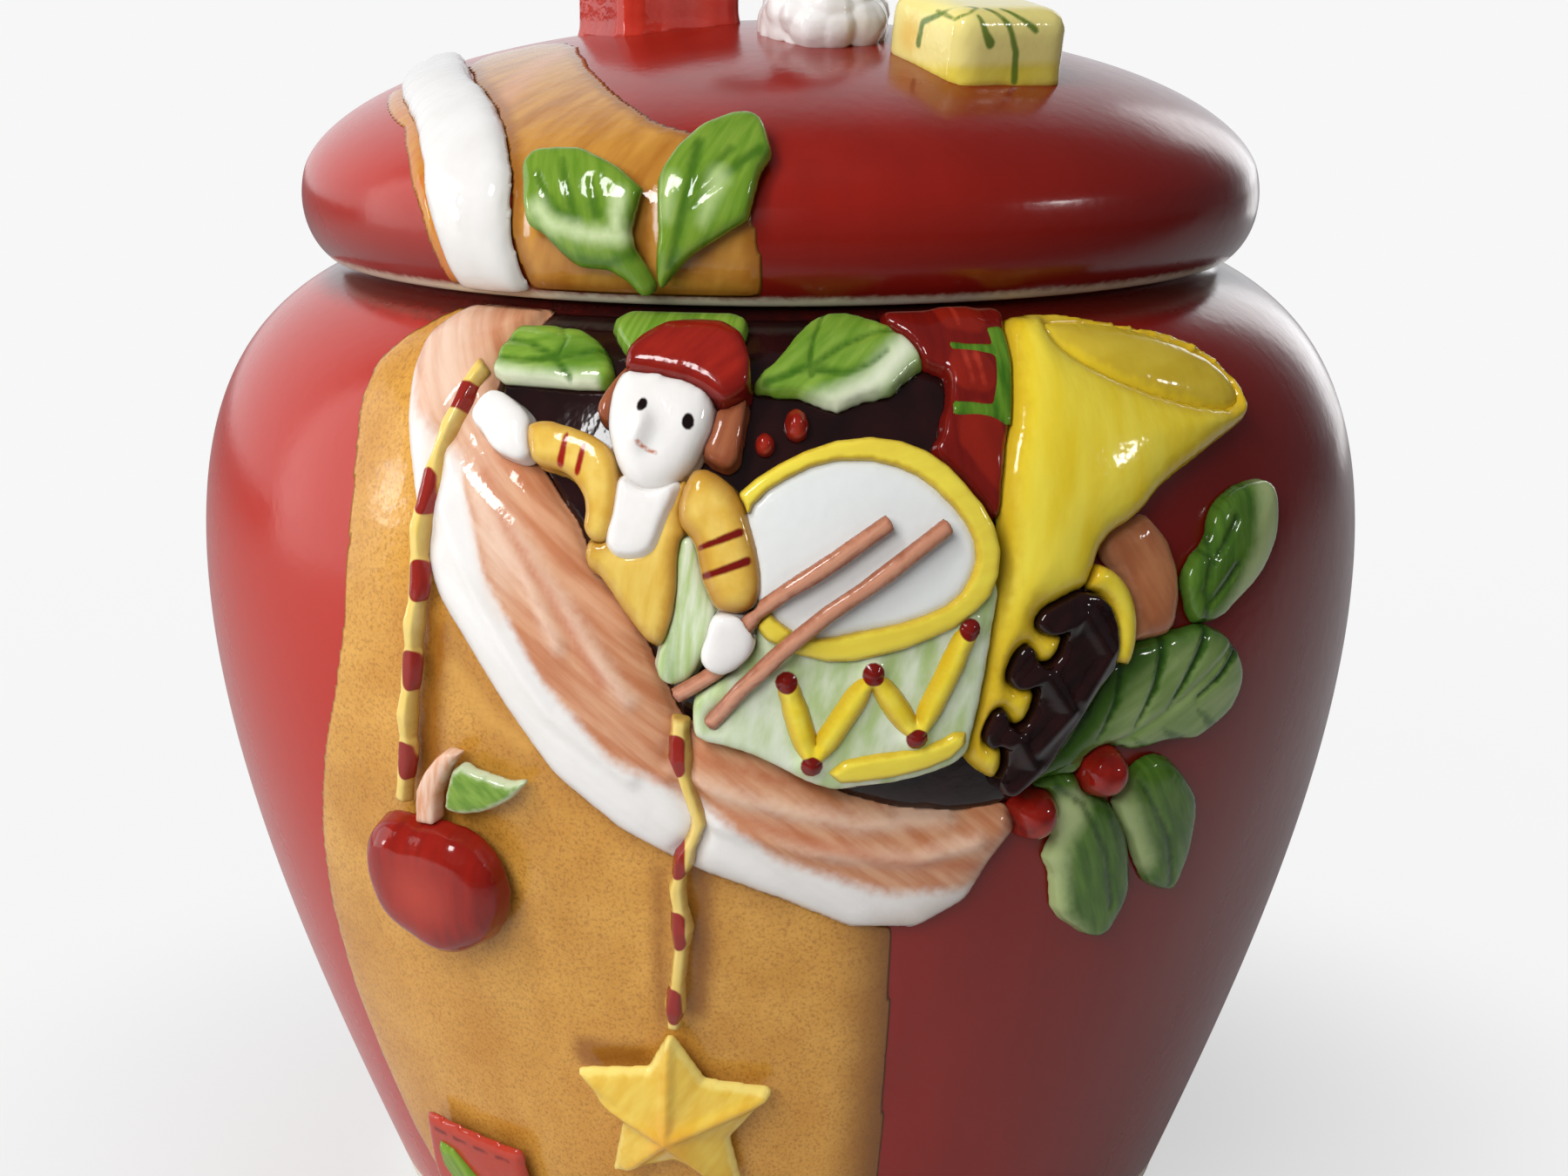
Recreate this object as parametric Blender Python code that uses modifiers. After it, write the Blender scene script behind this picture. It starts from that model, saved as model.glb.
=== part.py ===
"""Cookie jar: a lidded stoneware jar with toys, holly and a sack in raised clay.

The jar and its lid are turned shells. Every raised figure is a sprig, a flat piece of clay
that is cut out, rounded over and then wrapped on the wall. Sprigs are drawn as on a sheet of
paper wrapped round the shell: across the sheet is the way round the wall, up the sheet is
the height on the jar, or the way up the dome on the lid. The front of the jar faces -Y.
"""
import math

import bmesh
import bpy
from mathutils import Matrix, Vector

MM = 0.001
GAP = 0.3

# Jar wall, in millimetres
FOOT_RADIUS = 68.6
FOOT_CHAMFER = 1.8
FLARE_RADIUS = 83.0
FLARE_HEIGHT = 35.0
BELLY_RADIUS = 101.8
BELLY_HEIGHT = 118.0
BELLY_DRAW = 38.0
SHOULDER_DRAW = 28.0
NECK_RADIUS = 76.0
NECK_HEIGHT = 166.3
NECK_RUN = 16.0
NECK_DROP = 7.3
WALL = 5.5
FLOOR = 8.5
LIP_RISE = 1.4
LIP_CHAMFER = 1.4
MOUTH_RADIUS = 68.0
MOUTH_DEPTH = 4.5

# Lid, in millimetres
LID_RIM_RADIUS = 79.0
LID_RIM_EDGE = 0.5
LID_SIDE_RADIUS = 82.6
LID_SIDE_HEIGHT = 15.3
LID_SIDE_BULGE = 84.2
LID_CROWN_HEIGHT = 39.5
LID_CROWN_DRAW = 60.0
LID_WALL = 5.5
PLUG_CLEARANCE = 1.5
PLUG_DEPTH = 10.0
PLUG_WALL = 5.0

# The sheets that the sprigs are drawn on
SHEET_HEIGHT = 166.3
SHEET_RADIUS = 101.8
LID_SHEET_LENGTH = 109.0
LID_SHEET_RADIUS = 83.0

COLUMNS = 48
LOWER_ROWS = 8
SHOULDER_ROWS = 6
LID_SIDE_ROWS = 3
LID_DOME_ROWS = 7

# Heights of the sprigs above the skin
SACK_TOP = 2.3
LINING_TOP = 1.7
CUFF_TOP = 3.8
LEAF_TOP = 3.2
TOY_BASE = LINING_TOP + GAP
ON_SACK = SACK_TOP + GAP
LID_SACK_TOP = 1.8
ON_LID_SACK = LID_SACK_TOP + GAP
DRUM_TOP = 6.5
DRUM_HEAD_TOP = 7.6
DRUM_HOOP_TOP = 8.6
HORN_TOP = 7.2
FRILL_TOP = 6.4
PARCEL_TOP = 4.8
PATCH_TOP = 3.8
TORSO_TOP = 5.8
BIB_BASE = TORSO_TOP - 0.8
BIB_TOP = 7.2
CAP_TOP = 9.2
SLEEVE_TOP = 9.0
HAND_TOP = 9.8
LID_CLEARANCE = 0.5
CUTTER_TOP = 14.0

SEAT_HEIGHT = NECK_HEIGHT + LIP_RISE
LID_BASE = SEAT_HEIGHT + GAP
CROWN = LID_BASE + LID_CROWN_HEIGHT

RED = (0.40, 0.020, 0.016)
DEEP_RED = (0.26, 0.010, 0.012)
OCHRE = (0.56, 0.31, 0.075)
WHITE = (0.82, 0.80, 0.77)
SALMON = (0.66, 0.33, 0.20)
BROWN = (0.055, 0.016, 0.014)
STICK_BROWN = (0.38, 0.14, 0.08)
GREEN = (0.20, 0.42, 0.08)
HOLLY_GREEN = (0.10, 0.22, 0.07)
PALE_GREEN = (0.50, 0.66, 0.36)
YELLOW = (0.74, 0.56, 0.05)
SOFT_YELLOW = (0.76, 0.58, 0.20)


def bezier(start, pull_a, pull_b, end, steps):
    """Points of a cubic curve, from start to end."""
    points = []
    for step in range(steps + 1):
        t = step / steps
        u = 1 - t
        shares = (u**3, 3*u*u*t, 3*u*t*t, t**3)
        points.append(tuple(sum(share*point[axis] for share, point in
                                zip(shares, (start, pull_a, pull_b, end))) for axis in (0, 1)))
    return points


def normals_of(points):
    """Outward normals of a wall that is listed from bottom to top, as (radius, height)."""
    normals = []
    for index in range(len(points)):
        low = points[max(index - 1, 0)]
        high = points[min(index + 1, len(points) - 1)]
        run = Vector((high[0] - low[0], high[1] - low[1])).normalized()
        normals.append((run.y, -run.x))
    return normals


class Skin:
    """A turned wall in flat facets, on which a drawn sheet is wrapped."""

    def __init__(self, points, marks, sheet_radius, ceiling):
        self.points = points
        self.marks = marks
        self.normals = normals_of(points)
        self.column = 2*math.pi*sheet_radius/COLUMNS
        self.ceiling = ceiling

    def wrap(self, across, up_sheet, rise):
        """Place in metres of a point that is drawn at across, up_sheet, and raised by rise."""
        row = 0
        while row < len(self.marks) - 2 and up_sheet > self.marks[row + 1]:
            row += 1
        share = (up_sheet - self.marks[row])/(self.marks[row + 1] - self.marks[row])
        radius, height, out, up = [low + share*(high - low) for low, high in
                                   zip((*self.points[row], *self.normals[row]),
                                       (*self.points[row + 1], *self.normals[row + 1]))]
        if up > 0:
            rise = min(rise, (self.ceiling - height)/up)
        radius += rise*out
        height += rise*up
        place = across/self.column
        first = math.floor(place)
        turn = place - first
        angles = (2*math.pi*first/COLUMNS, 2*math.pi*(first + 1)/COLUMNS)
        sine = (1 - turn)*math.sin(angles[0]) + turn*math.sin(angles[1])
        cosine = (1 - turn)*math.cos(angles[0]) + turn*math.cos(angles[1])
        return Vector((radius*sine, -radius*cosine, height))*MM


def jar_wall():
    belly = (BELLY_RADIUS, BELLY_HEIGHT)
    lower = bezier((FOOT_RADIUS, 0), (FLARE_RADIUS, FLARE_HEIGHT),
                   (BELLY_RADIUS, BELLY_HEIGHT - BELLY_DRAW), belly, LOWER_ROWS)
    shoulder = bezier(belly, (BELLY_RADIUS, BELLY_HEIGHT + SHOULDER_DRAW),
                      (NECK_RADIUS + NECK_RUN, NECK_HEIGHT - NECK_DROP),
                      (NECK_RADIUS, NECK_HEIGHT), SHOULDER_ROWS)
    return lower + shoulder[1:]


def lid_wall():
    side_top = (LID_SIDE_RADIUS, LID_BASE + LID_SIDE_HEIGHT)
    side = bezier((LID_RIM_RADIUS, LID_BASE + LID_RIM_EDGE),
                  (LID_RIM_RADIUS + 4.0, LID_BASE + LID_SIDE_HEIGHT/4),
                  (LID_SIDE_BULGE, LID_BASE + LID_SIDE_HEIGHT*0.65), side_top, LID_SIDE_ROWS)
    dome = bezier(side_top, (LID_SIDE_RADIUS - 3.1, LID_BASE + LID_SIDE_HEIGHT + 8.5),
                  (LID_CROWN_DRAW, CROWN - 1.5), (0, CROWN), LID_DOME_ROWS)
    return side + dome[1:]


def lengths_along(points):
    total = [0.0]
    for first, second in zip(points, points[1:]):
        total.append(total[-1] + math.dist(first, second))
    return total


JAR_WALL = jar_wall()
LID_WALL_LINE = lid_wall()
JAR_SKIN = Skin(JAR_WALL, [height*SHEET_HEIGHT/NECK_HEIGHT for _, height in JAR_WALL],
                SHEET_RADIUS, SEAT_HEIGHT - LID_CLEARANCE)
LID_LENGTHS = lengths_along(LID_WALL_LINE)
LID_SKIN = Skin(LID_WALL_LINE, [length*LID_SHEET_LENGTH/LID_LENGTHS[-1] for length in LID_LENGTHS],
                LID_SHEET_RADIUS, math.inf)


def clear_scene():
    for item in list(bpy.data.objects):
        bpy.data.objects.remove(item, do_unlink=True)


def new_collection(name):
    collection = bpy.data.collections.new(name)
    bpy.context.scene.collection.children.link(collection)
    return collection


def glaze(name, colour, roughness=0.12):
    material = bpy.data.materials.new(name)
    material.use_nodes = True
    shader = material.node_tree.nodes["Principled BSDF"]
    shader.inputs["Base Color"].default_value = (*colour, 1)
    shader.inputs["Roughness"].default_value = roughness
    shader.inputs["Metallic"].default_value = 0.0
    return material


def keep(name, mesh, colour, collection, parent, crease=35):
    """Adds a finished mesh as an object of the jar."""
    mesh.name = name
    mesh.materials.clear()
    mesh.materials.append(glaze(name + "_glaze", colour))
    mesh.shade_smooth()
    mesh.set_sharp_from_angle(angle=math.radians(crease))
    item = bpy.data.objects.new(name, mesh)
    collection.objects.link(item)
    item.parent = parent
    return item


def evaluated_mesh(item):
    """The mesh of an object with its modifiers, or of a curve. The object is removed."""
    bpy.context.view_layer.update()
    shown = item.evaluated_get(bpy.context.evaluated_depsgraph_get())
    mesh = bpy.data.meshes.new_from_object(shown)
    mesh.transform(item.matrix_world)
    bpy.data.objects.remove(item, do_unlink=True)
    return mesh


def flat_floor(mesh, level):
    """Cuts away what lies below a level and closes the underside."""
    shape = bmesh.new()
    shape.from_mesh(mesh)
    bmesh.ops.remove_doubles(shape, verts=shape.verts, dist=0.0001)
    cut = bmesh.ops.bisect_plane(shape, geom=shape.verts[:] + shape.edges[:] + shape.faces[:],
                                 dist=0.0001, plane_co=(0, 0, level), plane_no=(0, 0, 1),
                                 clear_inner=True)
    rim = [edge for edge in cut["geom_cut"] if isinstance(edge, bmesh.types.BMEdge)]
    bmesh.ops.edgeloop_fill(shape, edges=rim)
    bmesh.ops.recalc_face_normals(shape, faces=shape.faces)
    shape.to_mesh(mesh)
    shape.free()
    return mesh


def pillow(outline, base, top, edge, smooth=2, rounds=1, grow=0.0):
    """A flat piece with a rounded upper edge, on the drawn sheet in millimetres.

    smooth is the number of steps between two outline points, or 0 for straight sides.
    """
    curve = bpy.data.curves.new("outline", "CURVE")
    curve.dimensions = "2D"
    curve.fill_mode = "BOTH"
    if smooth:
        spline = curve.splines.new("BEZIER")
        spline.bezier_points.add(len(outline) - 1)
        for point, (across, up_sheet) in zip(spline.bezier_points, outline):
            point.co = (across, up_sheet, 0)
            point.handle_left_type = "AUTO"
            point.handle_right_type = "AUTO"
        spline.resolution_u = smooth
    else:
        spline = curve.splines.new("POLY")
        spline.points.add(len(outline) - 1)
        for point, (across, up_sheet) in zip(spline.points, outline):
            point.co = (across, up_sheet, 0, 1)
    spline.use_cyclic_u = True
    floor = base - grow
    curve.bevel_depth = edge
    curve.bevel_resolution = rounds
    curve.extrude = top + grow - floor - edge
    curve.offset = grow - edge
    item = bpy.data.objects.new("outline", curve)
    bpy.context.scene.collection.objects.link(item)
    item.location.z = floor
    return flat_floor(evaluated_mesh(item), floor)


def cord(points, radius, base=None, sides=1, swell=None, grow=0.0):
    """A round cord through points drawn as (across, up_sheet, rise), with a flat underside.

    swell gives the thickness at each point as a share of the radius.
    """
    curve = bpy.data.curves.new("cord", "CURVE")
    curve.dimensions = "3D"
    curve.bevel_depth = radius + grow
    curve.bevel_resolution = sides
    curve.use_fill_caps = True
    spline = curve.splines.new("POLY")
    spline.points.add(len(points) - 1)
    places = [Vector(place) for place in points]
    places[0] += (places[0] - places[1]).normalized()*grow
    places[-1] += (places[-1] - places[-2]).normalized()*grow
    for index, (point, place) in enumerate(zip(spline.points, places)):
        point.co = (*place, 1)
        point.radius = swell[index] if swell else 1.0
    item = bpy.data.objects.new("cord", curve)
    bpy.context.scene.collection.objects.link(item)
    mesh = evaluated_mesh(item)
    if base is not None:
        return flat_floor(mesh, base - grow)
    return flat_floor(mesh, min(place[2] for place in points) - 2*radius)


def ring_points(centre, across, up_sheet, count, turn=0.0):
    """Points of an oval outline."""
    points = []
    for index in range(count):
        angle = 2*math.pi*index/count + turn
        points.append((centre[0] + across*math.cos(angle), centre[1] + up_sheet*math.sin(angle)))
    return points


def smooth_line(points, steps):
    """A smooth line through points, with a few steps between each two of them."""
    places = [Vector(point) for point in points]
    line = []
    for index in range(len(places) - 1):
        before = places[max(index - 1, 0)]
        start = places[index]
        end = places[index + 1]
        after = places[min(index + 2, len(places) - 1)]
        for step in range(steps):
            t = step/steps
            line.append(0.5*((2*start) + (end - before)*t
                             + (2*before - 5*start + 4*end - after)*t*t
                             + (3*start - before - 3*end + after)*t**3))
    line.append(places[-1])
    return [tuple(place) for place in line]


def cut_away(mesh, cutters):
    """The mesh with the cutters' space taken out of it."""
    body = bpy.data.objects.new("body", mesh)
    bpy.context.scene.collection.objects.link(body)
    tools = []
    for cutter in cutters:
        tool = bpy.data.objects.new("tool", cutter)
        bpy.context.scene.collection.objects.link(tool)
        cut = body.modifiers.new("cut", "BOOLEAN")
        cut.operation = "DIFFERENCE"
        cut.object = tool
        tools.append(tool)
    result = evaluated_mesh(body)
    for tool in tools:
        bpy.data.objects.remove(tool, do_unlink=True)
    return result


def wrapped(mesh, skin):
    """Slices a flat piece along the skin's facets and lays it on the skin."""
    shape = bmesh.new()
    shape.from_mesh(mesh)
    bmesh.ops.remove_doubles(shape, verts=shape.verts, dist=0.001)
    across = [vert.co.x for vert in shape.verts]
    up_sheet = [vert.co.y for vert in shape.verts]
    slices = []
    for column in range(math.floor(min(across)/skin.column), math.ceil(max(across)/skin.column)):
        slices.append(((column*skin.column, 0, 0), (1, 0, 0)))
    for mark in skin.marks:
        if min(up_sheet) < mark < max(up_sheet):
            slices.append(((0, mark, 0), (0, 1, 0)))
    for place, direction in slices:
        bmesh.ops.bisect_plane(shape, geom=shape.verts[:] + shape.edges[:] + shape.faces[:],
                               dist=0.001, plane_co=place, plane_no=direction)
    bmesh.ops.triangulate(shape, faces=shape.faces)
    for vert in shape.verts:
        vert.co = skin.wrap(vert.co.x, vert.co.y, vert.co.z)
    bmesh.ops.remove_doubles(shape, verts=shape.verts, dist=0.000002)
    bmesh.ops.recalc_face_normals(shape, faces=shape.faces)
    shape.to_mesh(mesh)
    shape.free()
    return mesh


class Sprig:
    """A raised piece: how it is shaped, its colour, and the pieces that it makes room for.

    beside names the pieces that stand next to it and over those that it lies across.
    """

    def __init__(self, name, colour, shape, beside=(), over=(), **sizes):
        self.name = name
        self.colour = colour
        self.shape = shape
        self.beside = beside
        self.over = over
        self.sizes = sizes

    def flat(self):
        return self.shape(**self.sizes)

    def room(self, upward):
        """The piece with the gap all round, as a cutter. upward clears all that is above it."""
        sizes = dict(self.sizes, grow=GAP)
        if upward and self.shape is pillow:
            sizes["top"] = CUTTER_TOP
        return self.shape(**sizes)


def lay_on(skin, sprigs, collection, parent):
    """Cuts each sprig clear of its neighbours and wraps it on the skin."""
    by_name = {sprig.name: sprig for sprig in sprigs}
    for sprig in sprigs:
        mesh = sprig.flat()
        rooms = [by_name[name].room(True) for name in sprig.beside]
        rooms += [by_name[name].room(False) for name in sprig.over]
        if rooms:
            mesh = cut_away(mesh, rooms)
        keep(sprig.name, wrapped(mesh, skin), sprig.colour, collection, parent)


# The sack and its turned-back cuff
SACK_OUTLINE = [
    (-72, 165.3), (-78, 161.5), (-80.5, 157.5), (-79, 152), (-76, 144.8), (-74.4, 138),
    (-74, 130), (-75, 117), (-78, 107), (-84, 94), (-90, 80), (-95, 65), (-98, 50), (-99, 35),
    (-98, 20), (-94, 10), (-80, 8.8), (-50, 8.6), (-20, 8.6), (8, 8.8), (17.5, 11), (20.5, 20),
    (20.2, 35), (19.4, 52), (18.8, 66), (18.4, 76), (10, 80), (-10, 89), (-30, 99), (-45, 117),
    (-56, 137), (-62, 150), (-64, 162), (-66, 165.3)]
CUFF_OUTLINE = [
    (-66, 165.2), (-70.5, 161), (-68, 155.4), (-64.5, 149), (-60.5, 141.5), (-56.8, 131.5),
    (-53.5, 124.5), (-48.4, 118.2), (-42.6, 109.7), (-34.9, 99.3), (-24.8, 91.3), (-13.4, 85.5),
    (0.6, 80.3), (11, 75.6), (22, 74.8), (30, 79), (33.5, 85.5), (37.3, 90.5), (35.3, 94.3),
    (28, 93.6), (18, 94.8), (10, 97.3), (3.8, 100.2), (-3, 104.8), (-10.5, 107.2), (-15, 110),
    (-17.6, 116), (-21.5, 124.3), (-28.2, 131.6), (-31, 137.5), (-35.5, 142.5), (-40, 146.8),
    (-46, 148.5), (-49.5, 152.5), (-50.5, 159), (-47.5, 165.2)]
CUFF_END_OUTLINE = [
    (50.4, 133.3), (54.7, 135.1), (59.3, 136.4), (62.8, 132.6), (64.4, 128), (64.6, 123.6),
    (63.7, 119.6), (62, 118.2), (55, 118.2), (55.6, 120.6), (55.7, 123.6), (54.3, 127.6),
    (51.1, 131)]
LINING_OUTLINE = [
    (-52, 165.2), (34, 165.2), (36.5, 150), (36.5, 131), (44, 130), (50.5, 127), (53.5, 121),
    (52.5, 113), (45, 104), (38, 96), (33, 92), (20, 92), (8, 96), (-4, 102), (-16, 107),
    (-21, 119), (-29, 130), (-36, 138), (-42, 144), (-52, 146), (-54, 156)]

# Leaves and small berries in the mouth of the sack
LEFT_LEAF = [
    (-55.4, 158.6), (-55.4, 160.5), (-52.9, 161.4), (-48.7, 161.9), (-42.5, 162.1), (-36.5, 161.8),
    (-33.1, 160.7), (-30.2, 159), (-28.4, 157.2), (-28.6, 155.8), (-34.2, 155.5), (-40.6, 155.8),
    (-47.3, 155.9), (-51.4, 156.4)]
MIDDLE_LEAF = [
    (-31, 163), (-28.5, 164.3), (-22, 164.4), (-15, 164.4), (-9, 164.3), (-6, 163.4), (-6.9, 161.4),
    (-10, 160.2), (-14.5, 160.1), (-20.6, 159.8), (-24.6, 159), (-26.6, 159.8), (-29.2, 161.6)]
RIGHT_LEAF = [
    (-4.4, 155.8), (-2.8, 157.6), (-1.3, 158.2), (0.9, 159.9), (2.8, 161.7), (5.1, 163), (8, 164.1),
    (12, 164.3), (17.3, 163.2), (20, 162.5), (22.3, 161.2), (23.5, 159.9), (24.1, 158.4),
    (22.1, 157.8), (19.8, 156.6), (17.8, 155.1), (15.8, 155), (13.2, 154.7), (9.1, 153.4),
    (6.8, 154), (2.7, 155.3), (-1.1, 155.5)]
SMALL_BERRY_LEFT = (-2.4, SHEET_HEIGHT - 17.4)
SMALL_BERRY_RIGHT = (2.5, SHEET_HEIGHT - 14.9)

# The wrapped present behind the drum
PARCEL_OUTLINE = [
    (19, 163), (19.4, 164.3), (25, 164.4), (35, 164.4), (42, 164.2), (42.5, 161), (40.5, 157.4),
    (37.5, 150.4), (36, 147.5), (34.8, 143.9), (33.6, 138.4), (31.6, 138.4), (30.2, 140.6),
    (28.3, 143), (26.2, 144.8), (24.4, 146.4), (23.6, 147.6), (25.1, 149.4), (25.8, 151.5),
    (27, 152.9), (27.9, 155.7), (27.9, 157.4), (25.9, 157.9), (24, 158.5), (22.5, 160.5),
    (21, 161.8)]
RIBBON_OUTLINE = [
    (36.9, 161.3), (40, 161.4), (39.6, 159.6), (39.1, 157.7), (35.9, 150), (34.9, 150.1),
    (33.5, 150.7), (30.3, 151.1), (26.8, 151.5), (27.4, 153), (30.1, 152.8), (33.7, 152.4),
    (34.9, 154.7), (36.6, 158.1), (32.5, 158.4), (28.9, 158.8), (29, 159.9), (32.2, 159.6),
    (36.8, 159.3)]

# The doll
DOLL_FACE = [
    (-21.5, 158.4), (-15.5, 158.8), (-10.8, 156.4), (-10, 152), (-11.6, 147.6), (-14.2, 144),
    (-17.8, 142.4), (-22.2, 143.2), (-25, 147), (-26.4, 151.1), (-25.6, 156)]
DOLL_CAP = [
    (-24.5, 155.9), (-24.7, 157.9), (-22.7, 159.3), (-19.3, 160.7), (-14.7, 161.7), (-9.7, 161.3),
    (-6.5, 159.7), (-4.8, 157.2), (-4.8, 154.3), (-6.7, 153.1), (-8.8, 152.4), (-11.4, 153.8),
    (-14.6, 154.8), (-18.9, 155.4)]
DOLL_HAIR_LEFT = [
    (-25.6, 157.2), (-22, 157), (-23, 152), (-26, 150.8), (-28.1, 151.2), (-29, 152.2),
    (-28.5, 153.4), (-27.2, 155.4)]
DOLL_HAIR_RIGHT = [
    (-10.5, 153.5), (-7.6, 153.8), (-5.3, 154.1), (-5.5, 152), (-5.9, 149.4), (-6.4, 146.5),
    (-7.6, 145.2), (-9.7, 145.8), (-11.8, 147.2), (-13, 149.5), (-12.5, 152)]
DOLL_TORSO = [
    (-28.7, 137), (-27.6, 135.6), (-28.2, 133.6), (-27.6, 131.9), (-26.1, 131.3), (-24.3, 129),
    (-22.5, 126.3), (-20.5, 123.8), (-18.9, 121.9), (-17.2, 121.3), (-15.7, 122.8), (-14.8, 125.8),
    (-14.6, 128.8), (-14.7, 132.5), (-14.3, 135), (-13.1, 136.9), (-12.2, 139.6), (-12.7, 143),
    (-15, 145), (-19.2, 146), (-23, 145.6), (-25.1, 142.6), (-26.3, 139.1)]
DOLL_BIB = [
    (-23.3, 143.2), (-23.5, 140.8), (-23.7, 138.8), (-24.3, 136.7), (-24.4, 135), (-23.2, 133.9),
    (-21.6, 133.7), (-19.5, 134), (-18.2, 134.8), (-17.5, 136.4), (-17, 137.9), (-16.4, 139.5),
    (-15.5, 141.5), (-14.7, 143.8), (-16.4, 146), (-21, 146.4)]
DOLL_SLEEVE_LEFT = [
    (-39.3, 149.9), (-35.8, 150.2), (-32.1, 149.6), (-28.8, 148.8), (-26.1, 147.5), (-24.7, 145.9),
    (-24, 143.7), (-23.8, 141), (-24.2, 137.9), (-24.8, 135.6), (-26.3, 135), (-27.6, 135.8),
    (-28.5, 137.2), (-28.1, 139), (-28.6, 141.4), (-30.4, 143.2), (-32.8, 144.4), (-35.6, 144.6),
    (-37.5, 145.2), (-38.7, 147.5)]
DOLL_HAND_LEFT = [
    (-47.1, 153.4), (-45, 153), (-43.1, 152.3), (-41, 151.4), (-39.1, 150.1), (-38.7, 148),
    (-38.1, 146), (-39.3, 145), (-41.2, 145.4), (-43.4, 145.9), (-45.2, 146.8), (-46.8, 148.3),
    (-48.6, 149.3), (-49.9, 150.4), (-48.5, 152.7)]
DOLL_SLEEVE_RIGHT = [
    (-12.5, 144.6), (-10.6, 144.7), (-8.5, 143.8), (-6.6, 142.5), (-5.3, 140.7), (-4.3, 138),
    (-3.4, 135), (-2.8, 131.9), (-2.8, 129.3), (-3.6, 127.4), (-5.3, 126.4), (-7.2, 126.5),
    (-8.9, 127), (-9.9, 129), (-10.8, 131.2), (-11.3, 133.5), (-11.9, 135.7), (-14, 137.8),
    (-14.4, 140), (-13.7, 142.6)]
DOLL_HAND_RIGHT = [
    (-8.9, 126.4), (-7, 126.7), (-5.3, 126.3), (-4.1, 125), (-3.4, 123.2), (-3.6, 121.8),
    (-4.5, 120.5), (-6, 119.2), (-7.8, 118.3), (-9.7, 118.8), (-10.8, 120), (-10.6, 121.6),
    (-9.9, 123.1), (-9.5, 125)]
DOLL_TROUSERS = [
    (-14.2, 136.2), (-12.6, 136.5), (-12.1, 134.8), (-11.7, 133.1), (-11.1, 130.9), (-10.2, 128.5),
    (-9.3, 126.5), (-9.9, 124.4), (-10.4, 122), (-11.2, 119.9), (-12.3, 117.7), (-13.4, 116.2),
    (-15.8, 115.7), (-17.3, 116.6), (-17.6, 118.3), (-17.2, 120.2), (-16.2, 122), (-15.1, 125.6),
    (-14.6, 129.5), (-14.6, 133.6)]

# The drum
UPPER_HOOP_OUTSIDE = [
    (-6.1, 141.8), (-3.4, 143.7), (-0.1, 145.4), (3.6, 146.9), (8.1, 148.1), (13.2, 148.5),
    (17.6, 147.9), (21.3, 146.6), (24.3, 144.7), (26.6, 142.5), (28.7, 140.1), (30.3, 137.1),
    (31, 133.9), (30.5, 130.9), (29.2, 127.9), (27, 125.8), (24.2, 123.9), (20.8, 122.6),
    (17.1, 121.3), (13.5, 120.5), (10, 119.9), (6.4, 119.9), (2.2, 120.9), (-1.9, 122.8),
    (-4.7, 126.4), (-6.3, 131.2), (-7, 136)]
UPPER_HOOP_INSIDE = [
    (-4.1, 140.6), (-2, 142.4), (0.9, 143.8), (4.2, 145.1), (8.2, 145.9), (13, 145.8), (16.7, 145),
    (19.8, 143.8), (22.4, 142.1), (24.5, 140), (26.3, 137.6), (27.4, 135.2), (27.6, 132.9),
    (26.7, 130.9), (25.3, 128.5), (23, 126.8), (20, 125.6), (16.8, 124.7), (13.5, 124.1),
    (10.5, 123.7), (7.6, 123.1), (4.8, 122.8), (1.9, 123.7), (-0.7, 125.6), (-3, 128.2),
    (-4.3, 131.8), (-4.8, 136.1)]
DRUM_SKIN_OUTLINE = [((first[0] + second[0])/2, (first[1] + second[1])/2)
                     for first, second in zip(UPPER_HOOP_OUTSIDE, UPPER_HOOP_INSIDE)]
DRUM_SHELL_OUTLINE = [
    (30.1, 133.1), (29.6, 137), (26.4, 142.2), (20.9, 146.1), (13.2, 147.9), (4, 146.5),
    (-3, 143.1), (-5.8, 140.6), (-6.4, 136.1), (-5.7, 131.2), (-4, 126.4), (-3.4, 122.8),
    (-5.7, 118.6), (-9.4, 116), (-12.3, 113.9), (-12.3, 108), (-8.2, 107.2), (-4.2, 106),
    (-0.1, 104), (3.6, 101.8), (7.4, 100.4), (11.9, 100.9), (17, 101.4), (21.4, 102.4),
    (25.3, 103.8), (27.5, 105.9), (28.3, 110.4), (29.2, 115.6), (30.3, 121.2), (31.4, 126.7)]
LOWER_HOOP_OUTLINE = [
    (6.8, 103.6), (8.4, 102.1), (11.4, 102.2), (16.3, 102.8), (20.7, 103.8), (24, 105.1), (26, 107),
    (26, 108.6), (24.4, 108.8), (23, 107.9), (20.5, 107.1), (16.8, 106.4), (12.6, 106),
    (8.9, 105.3)]
KNOT_PLACES = [(0.8, 117.2), (4.3, 104.9), (12.7, 118.1), (18.9, 108.5), (26.2, 123.5)]
KNOT_SWELL = 1.35
LACE_RADIUS = 1.3
LACE_RISE = DRUM_TOP + GAP + 0.3
STICK_RADIUS = 1.25
FRONT_STICK = [
    (23.2, 137.4, 9.2), (13.3, 131.2, 9.4), (6.3, 126.6, 9.6), (-0.1, 121.4, 9.4), (-5.2, 116.4, 8),
    (-9.9, 110.4, 6)]
BACK_STICK = [
    (15, 138.1, 9.2), (7.5, 133.6, 9.6), (1, 129.9, 9.4), (-3.4, 126.6, 8.2), (-6.5, 121.6, 6.2),
    (-8.7, 118.3, 5.6), (-11.7, 116.2, 5.4), (-14.8, 114.2, 5)]

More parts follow.
